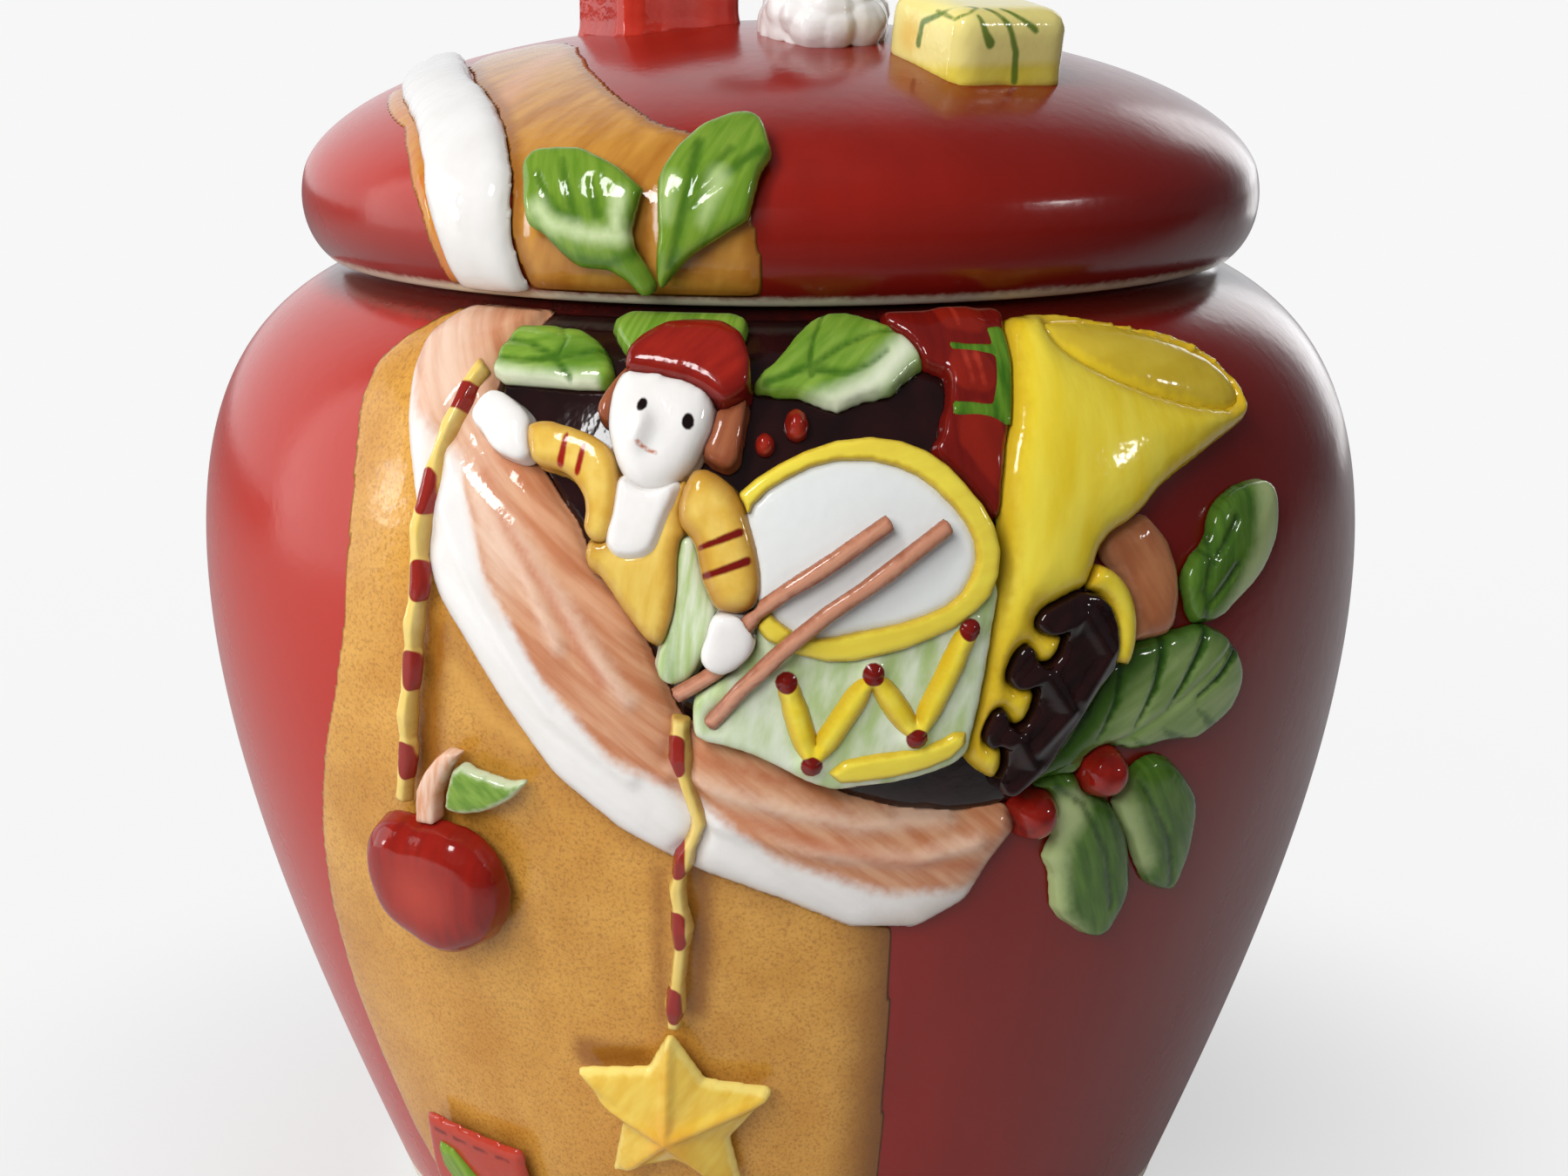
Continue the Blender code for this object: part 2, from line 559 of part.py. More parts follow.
# The horn
HORN_OUTLINE = [
    (43.4, 163.4), (49.5, 163.6), (54, 163), (60.2, 161.8), (67.2, 160.6), (73.8, 159.3),
    (79, 157.5), (82.3, 155.2), (84.2, 151.5), (83.6, 147.4), (78.4, 146), (73.4, 144.7),
    (68.3, 143.1), (63.7, 141.7), (59.8, 140), (56.6, 137.4), (53.4, 135.8), (50.1, 134.7),
    (47.8, 132.6), (46.5, 129.5), (44.5, 126), (42.5, 122), (41.5, 118), (39, 113.5), (37.5, 109),
    (35, 105.5), (33, 102), (31.8, 99.8), (29.3, 101.4), (26.9, 103.8), (27.3, 107.3),
    (28.2, 111.2), (29, 115.7), (29.8, 120.6), (30.6, 125.5), (31.6, 128.7), (32.4, 131.7),
    (32.7, 135.1), (32.7, 139.3), (33.4, 143.7), (34.8, 147.5), (36.4, 150.8), (38.5, 156),
    (40.1, 159.4), (41, 161.9)]
HORN_MOUTH_OUTLINE = [
    (48.4, 161.2), (55.6, 161.1), (62.6, 160.4), (69.2, 159.1), (74.7, 157.7), (79, 155.9),
    (81.7, 153.6), (82.1, 151.4), (81.2, 149.6), (77.9, 149.3), (70.6, 150.7), (64.1, 152.3),
    (58.2, 154.3), (53, 156.8), (49, 159.1)]
HORN_LOOP_LINE = [
    (46.3, 129.2, 4.2), (48.7, 128.2, 4.2), (50.6, 126.1, 4.2), (51.6, 123.6, 4.2),
    (51.9, 120.8, 4.2), (51.5, 118.4, 4.2), (50.8, 116.4, 4.2)]
HORN_LOOP_RADIUS = 2.0
FRILL_OUTLINE = [
    (44, 127), (40.1, 125.5), (38.1, 124.7), (36.9, 123.3), (37.6, 122), (39, 121.5), (40.5, 121.7),
    (41.7, 122.1), (41.7, 120.5), (40.9, 118.5), (39.4, 117), (37.8, 117.1), (36.6, 118.3),
    (36.4, 119.8), (35.3, 120.3), (34.2, 119.3), (33.2, 117.5), (32.7, 115.7), (33.6, 114.4),
    (35.2, 114.3), (36.8, 114.7), (37.5, 113.1), (37.1, 110.9), (35.9, 108.7), (34.4, 107.8),
    (33, 108.6), (32.7, 110.2), (32.1, 111.3), (30.9, 110.8), (29.8, 108.6), (29.4, 106.8),
    (30.3, 105.6), (31.5, 106.3), (32.7, 105.5), (33.1, 103.6), (32.6, 101.5), (31.9, 99.9),
    (32.7, 98.4), (34.6, 98.2), (36.6, 99.4), (38.9, 101.1), (40.7, 103.6), (42.2, 106.1),
    (44, 108.5), (45.6, 111), (47.2, 113.3), (49.4, 115.6), (50.2, 118.4), (50, 121.4),
    (48.8, 124.6), (46.8, 126.4)]

# Holly below the horn
HOLLY_UPPER = [
    (68.4, 119.3), (67.3, 121.3), (66.9, 123.3), (66, 125.2), (67, 127.3), (68.6, 129.2),
    (71.1, 130.6), (72.4, 132), (72.9, 133.8), (74.2, 135.5), (76.2, 136.8), (79.8, 138),
    (83.4, 138.5), (87, 138.4), (88.9, 137.6), (89.7, 135.6), (89.4, 133.4), (88.7, 131.1),
    (87.6, 128.8), (85.9, 126.8), (83.9, 124.8), (81.1, 123), (78.4, 121.7), (76.3, 120.7),
    (74.3, 119.5), (71.6, 119)]
HOLLY_LARGE = [
    (36, 98), (36.9, 99.4), (38.6, 100.7), (40.1, 102.4), (41.2, 104.6), (42.6, 106.1), (44, 107.3),
    (46.2, 107.8), (47.8, 109.9), (48.6, 111.6), (50.4, 112.6), (51.3, 114.5), (53.4, 115.8),
    (55.5, 117.1), (58.3, 117.3), (61.3, 117.7), (63.4, 118.3), (65.5, 118), (68.5, 118.4),
    (71.2, 118), (74.4, 116.6), (76.6, 114.9), (78.1, 112.9), (79.5, 110.6), (79.8, 108.4),
    (79.1, 106.2), (77.5, 103.9), (74.6, 102.3), (72.7, 101.5), (70, 100.5), (66, 101.1),
    (62.3, 101.3), (59.8, 100.9), (56.4, 100.9), (54.6, 101.9), (51.4, 101.6), (49.1, 101.1),
    (47.7, 99.9), (46.2, 98.4), (44, 98.6), (41, 98.2), (38.2, 97.2)]
HOLLY_LOW_LEFT = [
    (38.9, 97.4), (40.6, 98.4), (42.8, 98.7), (45.1, 98.4), (47.5, 97.2), (49.6, 95.6),
    (51.5, 93.6), (53.7, 92.1), (55.7, 89.7), (57.5, 86.9), (58.9, 83.6), (59.9, 80.1),
    (60.7, 76.9), (60.4, 74.3), (59.5, 72.3), (58.3, 69.7), (56.5, 68.8), (53.8, 69.6),
    (50.7, 71.7), (48.1, 73.4), (46.5, 75.5), (45.7, 78.7), (45, 81.8), (43.4, 84.4), (43.9, 86.2),
    (44.6, 87.4), (44.8, 89.2), (44, 91.5), (43, 93.8), (41.3, 95.9)]
HOLLY_LOW_RIGHT = [
    (57.3, 94.6), (57.8, 96.6), (59.4, 97.8), (61.9, 98.5), (64.8, 97.5), (67.7, 95.2), (69.9, 93),
    (72.1, 90.4), (73, 87.3), (73.2, 84.2), (73.3, 81.1), (72.8, 78.6), (72.2, 76), (71, 74.3),
    (68.4, 75), (65.3, 76.7), (63.2, 79.4), (61.1, 82.5), (59.6, 85.4), (57.9, 87.5), (56.5, 89.6),
    (55.3, 92)]
BERRY_RIGHT = (51.4, 98.1)
BERRY_LEFT = (39.7, 92.6)
BERRY_RADIUS = 4.1

# The apple, the star, the garlands and the patch
APPLE_OUTLINE = [
    (-58.9, 89.6), (-64.3, 89.8), (-67.6, 87.6), (-69.4, 83.5), (-69.3, 78.4), (-67.2, 73.2),
    (-62, 70.2), (-56.8, 68.2), (-51, 69.8), (-46.2, 74), (-44.4, 79.6), (-46, 85.6), (-50.4, 89)]
APPLE_STEM = [
    (-58.9, 89.2), (-57.9, 95.1), (-55.9, 98.3), (-53.4, 101.1), (-51.6, 102.4), (-49.5, 102),
    (-51, 100), (-52.5, 97.7), (-54.1, 94.7), (-55.2, 89.4)]
APPLE_LEAF = [
    (-52.8, 95), (-51.2, 99), (-49.2, 100.4), (-47.4, 99.4), (-44.4, 98.8), (-41.6, 98.2),
    (-38.4, 98.8), (-41.2, 95.8), (-44.1, 94), (-47.1, 92.7), (-50.5, 92), (-53.4, 92.4)]
STAR_OUTLINE = [
    (-18.9, 56.6), (-13.7, 48.3), (-1.5, 46.9), (-10, 37.7), (-7.7, 26.5), (-20, 33),
    (-33.1, 29.4), (-29.3, 39.4), (-37, 48.2), (-23.2, 49.9)]
STAR_CENTRE = (-20.4, 39.6)
STAR_EDGE = 1.4
STAR_PEAK = 3.6
LEFT_GARLAND_LINE = [
    (-52.6, 153.6), (-55.2, 147), (-55.5, 141.4), (-56.4, 134.9), (-56.0, 127.6), (-56.7, 121),
    (-57.6, 114.3), (-58.8, 107), (-59.8, 99.8), (-62, 92.6)]
RIGHT_GARLAND_LINE = [
    (-14.4, 110.6), (-14.8, 104.4), (-13.6, 99.4), (-11.9, 95.6), (-12.2, 92.2), (-14.8, 88.2),
    (-16.1, 83), (-15.4, 76.4), (-16.4, 69.4), (-17.6, 62.2), (-18.2, 58.6)]
GARLAND_RADIUS = 1.7
BEAD_SWELL = 1.45
LEFT_BEADS = (1, 3, 5, 7)
RIGHT_BEADS = (1, 5, 7, 9)
PATCH_OUTLINE = [(-80, 30.4), (-55.4, 28), (-56.4, 11), (-86.5, 11.5), (-84.6, 20)]
PATCH_LEAF = [(-77.6, 26), (-74, 25.2), (-69, 20), (-66.4, 14.6), (-71, 14), (-75.6, 17.4),
              (-78.4, 21.8)]

# Sprigs on the lid
LID_BAND = [
    (-54, 2), (-55.3, 5.7), (-56.1, 8.9), (-57.8, 12.9), (-60.9, 18.3), (-63, 21.3), (-68.9, 26.3),
    (-76.8, 31.2), (-87.1, 35), (-100.9, 38), (-112, 41), (-124, 46), (-118, 52), (-99, 49.8),
    (-89.5, 47.8), (-70.3, 42.2), (-59.6, 36.5), (-53.2, 32), (-47.8, 25.9), (-44.4, 20.9),
    (-43.3, 17), (-43.1, 14), (-42.6, 9.8), (-41.8, 6), (-41.3, 2)]
LID_STRIP = [
    (-58, 2), (-58.4, 6.5), (-59.6, 9.8), (-61, 13.7), (-63.2, 16.8), (-66.2, 20.2), (-70.4, 24.2),
    (-79, 29.9), (-97.7, 34.6), (-112, 37.6), (-108, 39.6), (-93.4, 37), (-77.2, 32), (-67, 25.6),
    (-60, 16.8), (-56.4, 8), (-54.4, 2)]
LID_PANEL = [
    (-42, 2), (-43.6, 10), (-44.8, 18), (-48.6, 26), (-60, 37), (-72, 43), (-89.5, 48.6),
    (-104, 51), (-117, 56), (-114, 66), (-102, 69), (-84, 67.5), (-62, 60.5), (-50.3, 54.1),
    (-36.3, 44.9), (-29.8, 40.2), (-24.5, 36), (-20.6, 34.2), (-14.6, 32.2), (-9, 28), (-5.2, 18),
    (-3.6, 12.7), (-3, 8.9), (-3.2, 2)]
LID_LEAF_LEFT = [
    (-40.7, 21.2), (-39.4, 23.6), (-35.9, 24.1), (-31.4, 24.2), (-27.7, 22.5), (-24.4, 20.9),
    (-20.9, 18.6), (-21.3, 16.7), (-22.2, 13), (-21.7, 10.7), (-20, 8), (-18.4, 5.2), (-20.4, 4.4),
    (-22.4, 6.6), (-25, 8), (-29.5, 8.2), (-31.2, 9.1), (-35.3, 12.4), (-37.8, 13.3), (-39.5, 18.7)]
LID_LEAF_RIGHT = [
    (-18.1, 19.8), (-16.1, 24.9), (-12.4, 29.6), (-8, 32.4), (-5.1, 32.6), (-3.2, 31.1),
    (-1.6, 24.7), (-3.3, 21.4), (-4.9, 15), (-8.9, 12.7), (-13.3, 10.1), (-16.4, 7), (-17.9, 5),
    (-17.8, 9.2), (-17.4, 12.6), (-17.6, 16)]

# The heap of presents that is the lid's handle
RED_PARCEL_SIZE = (22.9, 22.9, 21.0)
RED_PARCEL_PLACE = (-21.2, 0.3)
RED_PARCEL_TURN = 26.0
YELLOW_PARCEL_SIZE = (22.5, 21.5, 15.0)
YELLOW_PARCEL_PLACE = (31.8, -37.5)
YELLOW_PARCEL_TURN = 33.0
YELLOW_PARCEL_TILT = 9.0
PARCEL_ROUND = 3.2
PARCEL_SINK = 5.0
YELLOW_PARCEL_SINK = 4.0
ROOM_GROWTH = 0.36
BRIM_PLACE = (7.6, -19.0)
BRIM_SIZE = (11.6, 18.5, 8.5)
BRIM_RISE = 3.0
CAP_RADIUS = 10.4
CAP_LINE = [(7.4, -17.0, CROWN + 1.5), (7.2, -16.4, CROWN + 9.5), (5.0, -15.6, CROWN + 17.5),
            (1.0, -14.6, CROWN + 23.5), (-4.0, -13.6, CROWN + 26.3)]
CAP_TAPER = (1.0, 0.92, 0.72, 0.5, 0.34)
POMPOM_PLACE = (-9.6, -12.6, CROWN + 26.9)
POMPOM_RADIUS = 6.2


def hoop(outside, inside, base, top, edge, grow=0.0):
    """A flat ring between two outlines."""
    ring = pillow(outside, base, top, edge, smooth=0, rounds=1, grow=grow)
    hole = pillow(inside, base - 1, top + 1, 0.2, smooth=0, rounds=0, grow=-grow)
    return cut_away(ring, [hole])


def beaded_cord(line, beads, base, grow=0.0):
    """A garland: a cord that swells into a bead at some of its points."""
    steps = 2
    rise = base + GARLAND_RADIUS*0.45
    points = smooth_line([(across, up_sheet, rise) for across, up_sheet in line], steps)
    swell = [BEAD_SWELL if index % steps == 0 and index//steps in beads else 1.0
             for index in range(len(points))]
    return cord(points, GARLAND_RADIUS, base=base, sides=1, swell=swell, grow=grow)


def star_shape(base, grow=0.0):
    """A star whose top rises in facets from its corners to one peak."""
    mesh = pillow(STAR_OUTLINE, base, base + STAR_EDGE, 0.05, smooth=0, rounds=0, grow=grow)
    shape = bmesh.new()
    shape.from_mesh(mesh)
    level = max(vert.co.z for vert in shape.verts)
    top = [face for face in shape.faces
           if all(abs(vert.co.z - level) < 0.01 for vert in face.verts)]
    bmesh.ops.dissolve_faces(shape, faces=top)
    top = [face for face in shape.faces
           if all(abs(vert.co.z - level) < 0.01 for vert in face.verts)]
    poked = bmesh.ops.poke(shape, faces=top)
    for vert in poked["verts"]:
        vert.co = (*STAR_CENTRE, base + STAR_EDGE + STAR_PEAK + grow)
    shape.to_mesh(mesh)
    shape.free()
    return mesh


def jar_sprigs():
    """Every raised piece of the jar, in the order in which they are pressed on."""
    toy = {"base": TOY_BASE}
    leaf = {"base": GAP, "top": LEAF_TOP, "edge": 0.8, "smooth": 0}
    lace_line = []
    lace_swell = []
    for first, second in zip(KNOT_PLACES, KNOT_PLACES[1:]):
        for share in (0.0, 0.22, 0.78):
            lace_line.append((first[0] + share*(second[0] - first[0]),
                              first[1] + share*(second[1] - first[1]), LACE_RISE))
            lace_swell.append(KNOT_SWELL if share == 0.0 else 1.0)
    lace_line.append((*KNOT_PLACES[-1], LACE_RISE))
    lace_swell.append(KNOT_SWELL)
    return [
        Sprig("sack_panel", OCHRE, pillow, ("sack_cuff",), outline=SACK_OUTLINE, base=GAP,
              top=SACK_TOP, edge=1.2, smooth=0),
        Sprig("sack_cuff", WHITE, pillow, ("doll_hand_left", "garland_left", "garland_right",
              "drumstick_back", "drumstick_front"),
              outline=CUFF_OUTLINE, base=GAP, top=CUFF_TOP, edge=2.4, smooth=0),
        Sprig("sack_cuff_end", SALMON, pillow, ("horn_loop", "horn"), outline=CUFF_END_OUTLINE,
              base=GAP, top=2.9, edge=1.2, smooth=1),
        Sprig("sack_lining", BROWN, pillow, ("sack_cuff", "sack_cuff_end",
              "holly_leaf_large", "holly_leaf_low_left", "holly_berry_left"),
              outline=LINING_OUTLINE, base=GAP, top=LINING_TOP, edge=0.4, smooth=0, rounds=0),
        Sprig("sack_leaf_left", GREEN, pillow, ("sack_cuff",), outline=LEFT_LEAF,
              top=4.4, edge=0.8, smooth=1, **toy),
        Sprig("sack_leaf_middle", GREEN, pillow, ("doll_cap", "sack_leaf_left"),
              outline=MIDDLE_LEAF, top=4.4, edge=0.7, smooth=1, **toy),
        Sprig("sack_leaf_right", GREEN, pillow, ("doll_cap",), outline=RIGHT_LEAF,
              top=4.4, edge=0.7, smooth=0, **toy),
        Sprig("sack_berry_left", DEEP_RED, pillow, ("doll_hair_right", "doll_sleeve_right"),
              outline=ring_points(SMALL_BERRY_LEFT, 1.5, 1.5, 8), top=4.4, edge=0.8, smooth=0,
              rounds=0, **toy),
        Sprig("sack_berry_right", DEEP_RED, pillow, (),
              outline=ring_points(SMALL_BERRY_RIGHT, 1.9, 1.9, 8), top=4.6, edge=1.1, smooth=0,
              rounds=0, **toy),
        Sprig("toy_parcel", RED, pillow, ("drum_shell", "horn", "sack_leaf_right"),
              outline=PARCEL_OUTLINE, top=PARCEL_TOP, edge=0.5, smooth=0, rounds=0, **toy),
        Sprig("toy_parcel_ribbon", GREEN, pillow, ("horn",), outline=RIBBON_OUTLINE,
              base=PARCEL_TOP + GAP, top=PARCEL_TOP + 1.0, edge=0.3, smooth=0, rounds=0),
        Sprig("doll_face", WHITE, pillow, ("doll_cap",), outline=DOLL_FACE, top=8.6, edge=3.6,
              rounds=2, **toy),
        Sprig("doll_cap", RED, pillow, (), outline=DOLL_CAP, top=CAP_TOP, edge=1.1, smooth=1, **toy),
        Sprig("doll_hair_left", SALMON, pillow, ("doll_face", "doll_cap"),
              outline=DOLL_HAIR_LEFT, top=5.2, edge=0.5, smooth=1, **toy),
        Sprig("doll_hair_right", SALMON, pillow, ("doll_face", "doll_cap", "doll_sleeve_right"),
              outline=DOLL_HAIR_RIGHT, top=5.8, edge=1.0, smooth=1, **toy),
        Sprig("doll_torso", SOFT_YELLOW, pillow, ("doll_face", "doll_bib", "sack_cuff",
              "doll_sleeve_left", "doll_sleeve_right", "doll_trousers"),
              outline=DOLL_TORSO, top=TORSO_TOP, edge=0.9, smooth=0, rounds=0, **toy),
        Sprig("doll_bib", WHITE, pillow, ("doll_face",), outline=DOLL_BIB, base=BIB_BASE,
              top=BIB_TOP, edge=0.8, smooth=1),
        Sprig("doll_sleeve_left", SOFT_YELLOW, pillow, ("doll_face", "doll_bib"),
              outline=DOLL_SLEEVE_LEFT, top=6.4, edge=1.0, smooth=0, **toy),
        Sprig("doll_hand_left", WHITE, pillow, ("doll_sleeve_left",), outline=DOLL_HAND_LEFT,
              top=6.4, edge=1.1, smooth=1, **toy),
        Sprig("doll_sleeve_right", SOFT_YELLOW, pillow, ("doll_face", "doll_bib"),
              outline=DOLL_SLEEVE_RIGHT, top=SLEEVE_TOP, edge=2.2, smooth=1, **toy),
        Sprig("doll_hand_right", WHITE, pillow, ("doll_sleeve_right", "drumstick_back"),
              outline=DOLL_HAND_RIGHT, top=HAND_TOP, edge=1.2, smooth=1, **toy),
        Sprig("doll_trousers", PALE_GREEN, pillow,
              ("doll_sleeve_right", "doll_hand_right", "sack_cuff", "drumstick_back"),
              outline=DOLL_TROUSERS, top=5.0, edge=0.7, smooth=0, **toy),
        Sprig("drum_shell", PALE_GREEN, pillow, ("sack_cuff", "doll_sleeve_right",
              "doll_hand_right", "doll_trousers", "horn", "drumstick_back", "drumstick_front"),
              outline=DRUM_SHELL_OUTLINE, top=DRUM_TOP, edge=1.2, smooth=0, **toy),
        Sprig("drum_skin", WHITE, pillow, ("drum_hoop_upper", "doll_sleeve_right",
              "doll_hand_right", "drumstick_back", "drumstick_front"), outline=DRUM_SKIN_OUTLINE,
              base=DRUM_TOP + GAP, top=DRUM_HEAD_TOP, edge=0.4, smooth=0, rounds=0),
        Sprig("drum_hoop_upper", YELLOW, hoop, ("doll_sleeve_right", "doll_hand_right",
              "drumstick_front", "drumstick_back"),
              outside=UPPER_HOOP_OUTSIDE, inside=UPPER_HOOP_INSIDE,
              base=DRUM_TOP + GAP, top=DRUM_HOOP_TOP, edge=0.9),
        Sprig("drum_hoop_lower", YELLOW, pillow, ("drum_lacing",),
              outline=LOWER_HOOP_OUTLINE, base=DRUM_TOP + GAP, top=DRUM_TOP + 1.6, edge=0.6,
              smooth=1, rounds=0),
        Sprig("drum_lacing", YELLOW, cord, ("drumstick_front", "drum_hoop_upper"), points=lace_line,
              radius=LACE_RADIUS, base=DRUM_TOP + GAP, swell=lace_swell, sides=2),
        Sprig("drumstick_front", STICK_BROWN, cord, (), points=FRONT_STICK,
              radius=STICK_RADIUS, sides=2),
        Sprig("drumstick_back", STICK_BROWN, cord, ("doll_sleeve_right",), points=BACK_STICK,
              radius=STICK_RADIUS, sides=2),
        Sprig("horn", YELLOW, pillow, ("horn_mouth", "horn_frill"), ("sack_lining",),
              outline=HORN_OUTLINE, base=GAP, top=HORN_TOP, edge=1.3, smooth=0),
        Sprig("horn_mouth", YELLOW, pillow, (), outline=HORN_MOUTH_OUTLINE, base=GAP, top=5.6,
              edge=0.4, smooth=1, rounds=0),
        Sprig("horn_loop", YELLOW, cord, ("horn", "holly_leaf_large"),
              points=smooth_line(HORN_LOOP_LINE, 2), radius=HORN_LOOP_RADIUS, base=ON_SACK,
              sides=2),
        Sprig("horn_frill", BROWN, pillow, ("horn_loop", "holly_leaf_large"),
              outline=FRILL_OUTLINE, base=TOY_BASE, top=FRILL_TOP, edge=0.5, smooth=0, rounds=0),
        Sprig("holly_leaf_upper", HOLLY_GREEN, pillow, (), outline=HOLLY_UPPER, **leaf),
        Sprig("holly_leaf_large", HOLLY_GREEN, pillow, ("holly_berry_right",),
              outline=HOLLY_LARGE, **leaf),
        Sprig("holly_leaf_low_left", HOLLY_GREEN, pillow,
              ("holly_leaf_large", "holly_berry_left", "holly_berry_right", "sack_cuff"),
              outline=HOLLY_LOW_LEFT, **leaf),
        Sprig("holly_leaf_low_right", HOLLY_GREEN, pillow,
              ("holly_berry_right", "holly_leaf_large", "holly_leaf_low_left"),
              outline=HOLLY_LOW_RIGHT, **leaf),
        Sprig("holly_berry_left", RED, pillow, ("sack_cuff",),
              outline=ring_points(BERRY_LEFT, BERRY_RADIUS, BERRY_RADIUS, 12), base=GAP,
              top=6.0, edge=3.2, smooth=0, rounds=2),
        Sprig("holly_berry_right", RED, pillow, (),
              outline=ring_points(BERRY_RIGHT, BERRY_RADIUS, BERRY_RADIUS, 12), base=GAP,
              top=6.4, edge=3.2, smooth=0, rounds=2),
        Sprig("apple", RED, pillow, (), outline=APPLE_OUTLINE, base=ON_SACK, top=9.4,
              edge=5.6, rounds=2),
        Sprig("apple_stem", STICK_BROWN, pillow, ("apple",), outline=APPLE_STEM, base=ON_SACK,
              top=5.4, edge=0.8, smooth=0),
        Sprig("apple_leaf", GREEN, pillow, ("apple", "apple_stem"), outline=APPLE_LEAF,
              base=ON_SACK, top=4.8, edge=0.9, smooth=1),
        Sprig("star", YELLOW, star_shape, (), base=ON_SACK),
        Sprig("garland_left", SOFT_YELLOW, beaded_cord, ("apple", "apple_stem",
              "doll_hand_left"), line=LEFT_GARLAND_LINE, beads=LEFT_BEADS, base=ON_SACK),
        Sprig("garland_right", SOFT_YELLOW, beaded_cord, ("star",), line=RIGHT_GARLAND_LINE,
              beads=RIGHT_BEADS, base=ON_SACK),
        Sprig("patch", RED, pillow, (), outline=PATCH_OUTLINE, base=ON_SACK, top=PATCH_TOP,
              edge=0.5, smooth=0, rounds=0),
        Sprig("patch_leaf", GREEN, pillow, (), outline=PATCH_LEAF, base=PATCH_TOP + GAP,
              top=PATCH_TOP + 1.4, edge=0.5, smooth=1, rounds=0),
    ]


def lid_sprigs():
    leaf = {"base": ON_LID_SACK, "top": 4.6, "edge": 0.8, "smooth": 0}
    return [
        Sprig("lid_sack_panel", OCHRE, pillow, ("lid_band",), outline=LID_PANEL, base=GAP,
              top=LID_SACK_TOP, edge=0.8, smooth=0, rounds=0),
        Sprig("lid_sack_strip", OCHRE, pillow, ("lid_band",), outline=LID_STRIP, base=GAP,
              top=LID_SACK_TOP, edge=0.8, smooth=0, rounds=0),
        Sprig("lid_band", WHITE, pillow, (), outline=LID_BAND, base=GAP, top=2.9, edge=1.5,
              smooth=0),
        Sprig("lid_leaf_left", GREEN, pillow, ("lid_band",), outline=LID_LEAF_LEFT, **leaf),
        Sprig("lid_leaf_right", GREEN, pillow, ("lid_leaf_left",), outline=LID_LEAF_RIGHT,
              **leaf),
    ]


def turned(name, profile):
    """An object that spins a profile, given as (radius, height) in millimetres, about Z."""
    mesh = bpy.data.meshes.new(name)
    mesh.from_pydata([(radius*MM, 0, height*MM) for radius, height in profile],
                     [(index, index + 1) for index in range(len(profile) - 1)], [])
    item = bpy.data.objects.new(name, mesh)
    bpy.context.scene.collection.objects.link(item)
    spin = item.modifiers.new("turn", "SCREW")
    spin.axis = "Z"
    spin.angle = 2*math.pi
    spin.steps = COLUMNS
    spin.render_steps = COLUMNS
    spin.use_merge_vertices = True
    spin.merge_threshold = 0.00001
    spin.use_smooth_shade = True
    return item


def inner_side(points, wall, lowest, highest):
    """Points inside a wall, between two heights."""
    inside = []
    for (radius, height), (out, up) in zip(points, normals_of(points)):
        place = (radius - wall*out, height - wall*up)
        if lowest < place[1] < highest:
            inside.append(place)
    return inside


def foot_start():
    """The first facet of the outer wall above the chamfer of the foot."""
    low, high = JAR_WALL[0], JAR_WALL[1]
    share = FOOT_CHAMFER/high[1]
    return (low[0] + share*(high[0] - low[0]), FOOT_CHAMFER)


def jar_profile():
    """Inner floor, inner wall, lip, outer wall and flat foot, from the axis to the axis."""
    ceiling = SEAT_HEIGHT - MOUTH_DEPTH
    inside = inner_side(JAR_WALL, WALL, FLOOR + WALL/2, ceiling - WALL/2)
    floor_radius = inside[0][0] - WALL
    profile = [(0, FLOOR), (floor_radius, FLOOR)]
    profile += inside
    profile += [(MOUTH_RADIUS, ceiling), (MOUTH_RADIUS, SEAT_HEIGHT - LIP_CHAMFER/2),
                (MOUTH_RADIUS + LIP_CHAMFER/2, SEAT_HEIGHT),
                (NECK_RADIUS - LIP_CHAMFER, SEAT_HEIGHT)]
    profile += list(reversed(JAR_WALL))[:-1]
    profile += [foot_start(), (FOOT_RADIUS - FOOT_CHAMFER, 0), (0, 0)]
    return profile


def lid_profile():
    """Dome, rim, seat, plug and hollow inside, from the axis to the axis."""
    plug = MOUTH_RADIUS - PLUG_CLEARANCE
    plug_foot = LID_BASE - PLUG_DEPTH
    inside = inner_side(LID_WALL_LINE, LID_WALL, LID_BASE + LID_WALL + 1, CROWN)
    inside = [(radius, height) for radius, height in inside if radius > 0]
    profile = list(reversed(LID_WALL_LINE))
    profile += [(LID_RIM_RADIUS - 1.2, LID_BASE), (plug, LID_BASE), (plug, plug_foot + 0.8),
                (plug - 0.8, plug_foot), (plug - PLUG_WALL + 0.8, plug_foot),
                (plug - PLUG_WALL, plug_foot + 0.8), (plug - PLUG_WALL, LID_BASE + LID_WALL),
                (inside[0][0] - LID_WALL/2, LID_BASE + LID_WALL)]
    profile += inside + [(0, CROWN - LID_WALL)]
    return profile


def shell(name, profile, colour, collection, parent):
    mesh = evaluated_mesh(turned(name, profile))
    shape = bmesh.new()
    shape.from_mesh(mesh)
    bmesh.ops.remove_doubles(shape, verts=shape.verts, dist=0.00001)
    bmesh.ops.recalc_face_normals(shape, faces=shape.faces)
    shape.to_mesh(mesh)
    shape.free()
    return keep(name, mesh, colour, collection, parent)


def dome_cutter(cutters):
    """The lid's outer surface with the glaze gap, as a cutter for what stands on it."""
    normals = normals_of(LID_WALL_LINE)
    raised = [(max(radius + GAP*out, 0), height + GAP*up)
              for (radius, height), (out, up) in zip(LID_WALL_LINE, normals)]
    raised[-1] = (0, LID_WALL_LINE[-1][1] + GAP)
    profile = list(reversed(raised)) + [(0, LID_BASE)]
    item = turned("dome_cutter", profile)
    bpy.context.scene.collection.objects.unlink(item)
    cutters.objects.link(item)
    item.hide_render = True
    item.display_type = "WIRE"
    return item


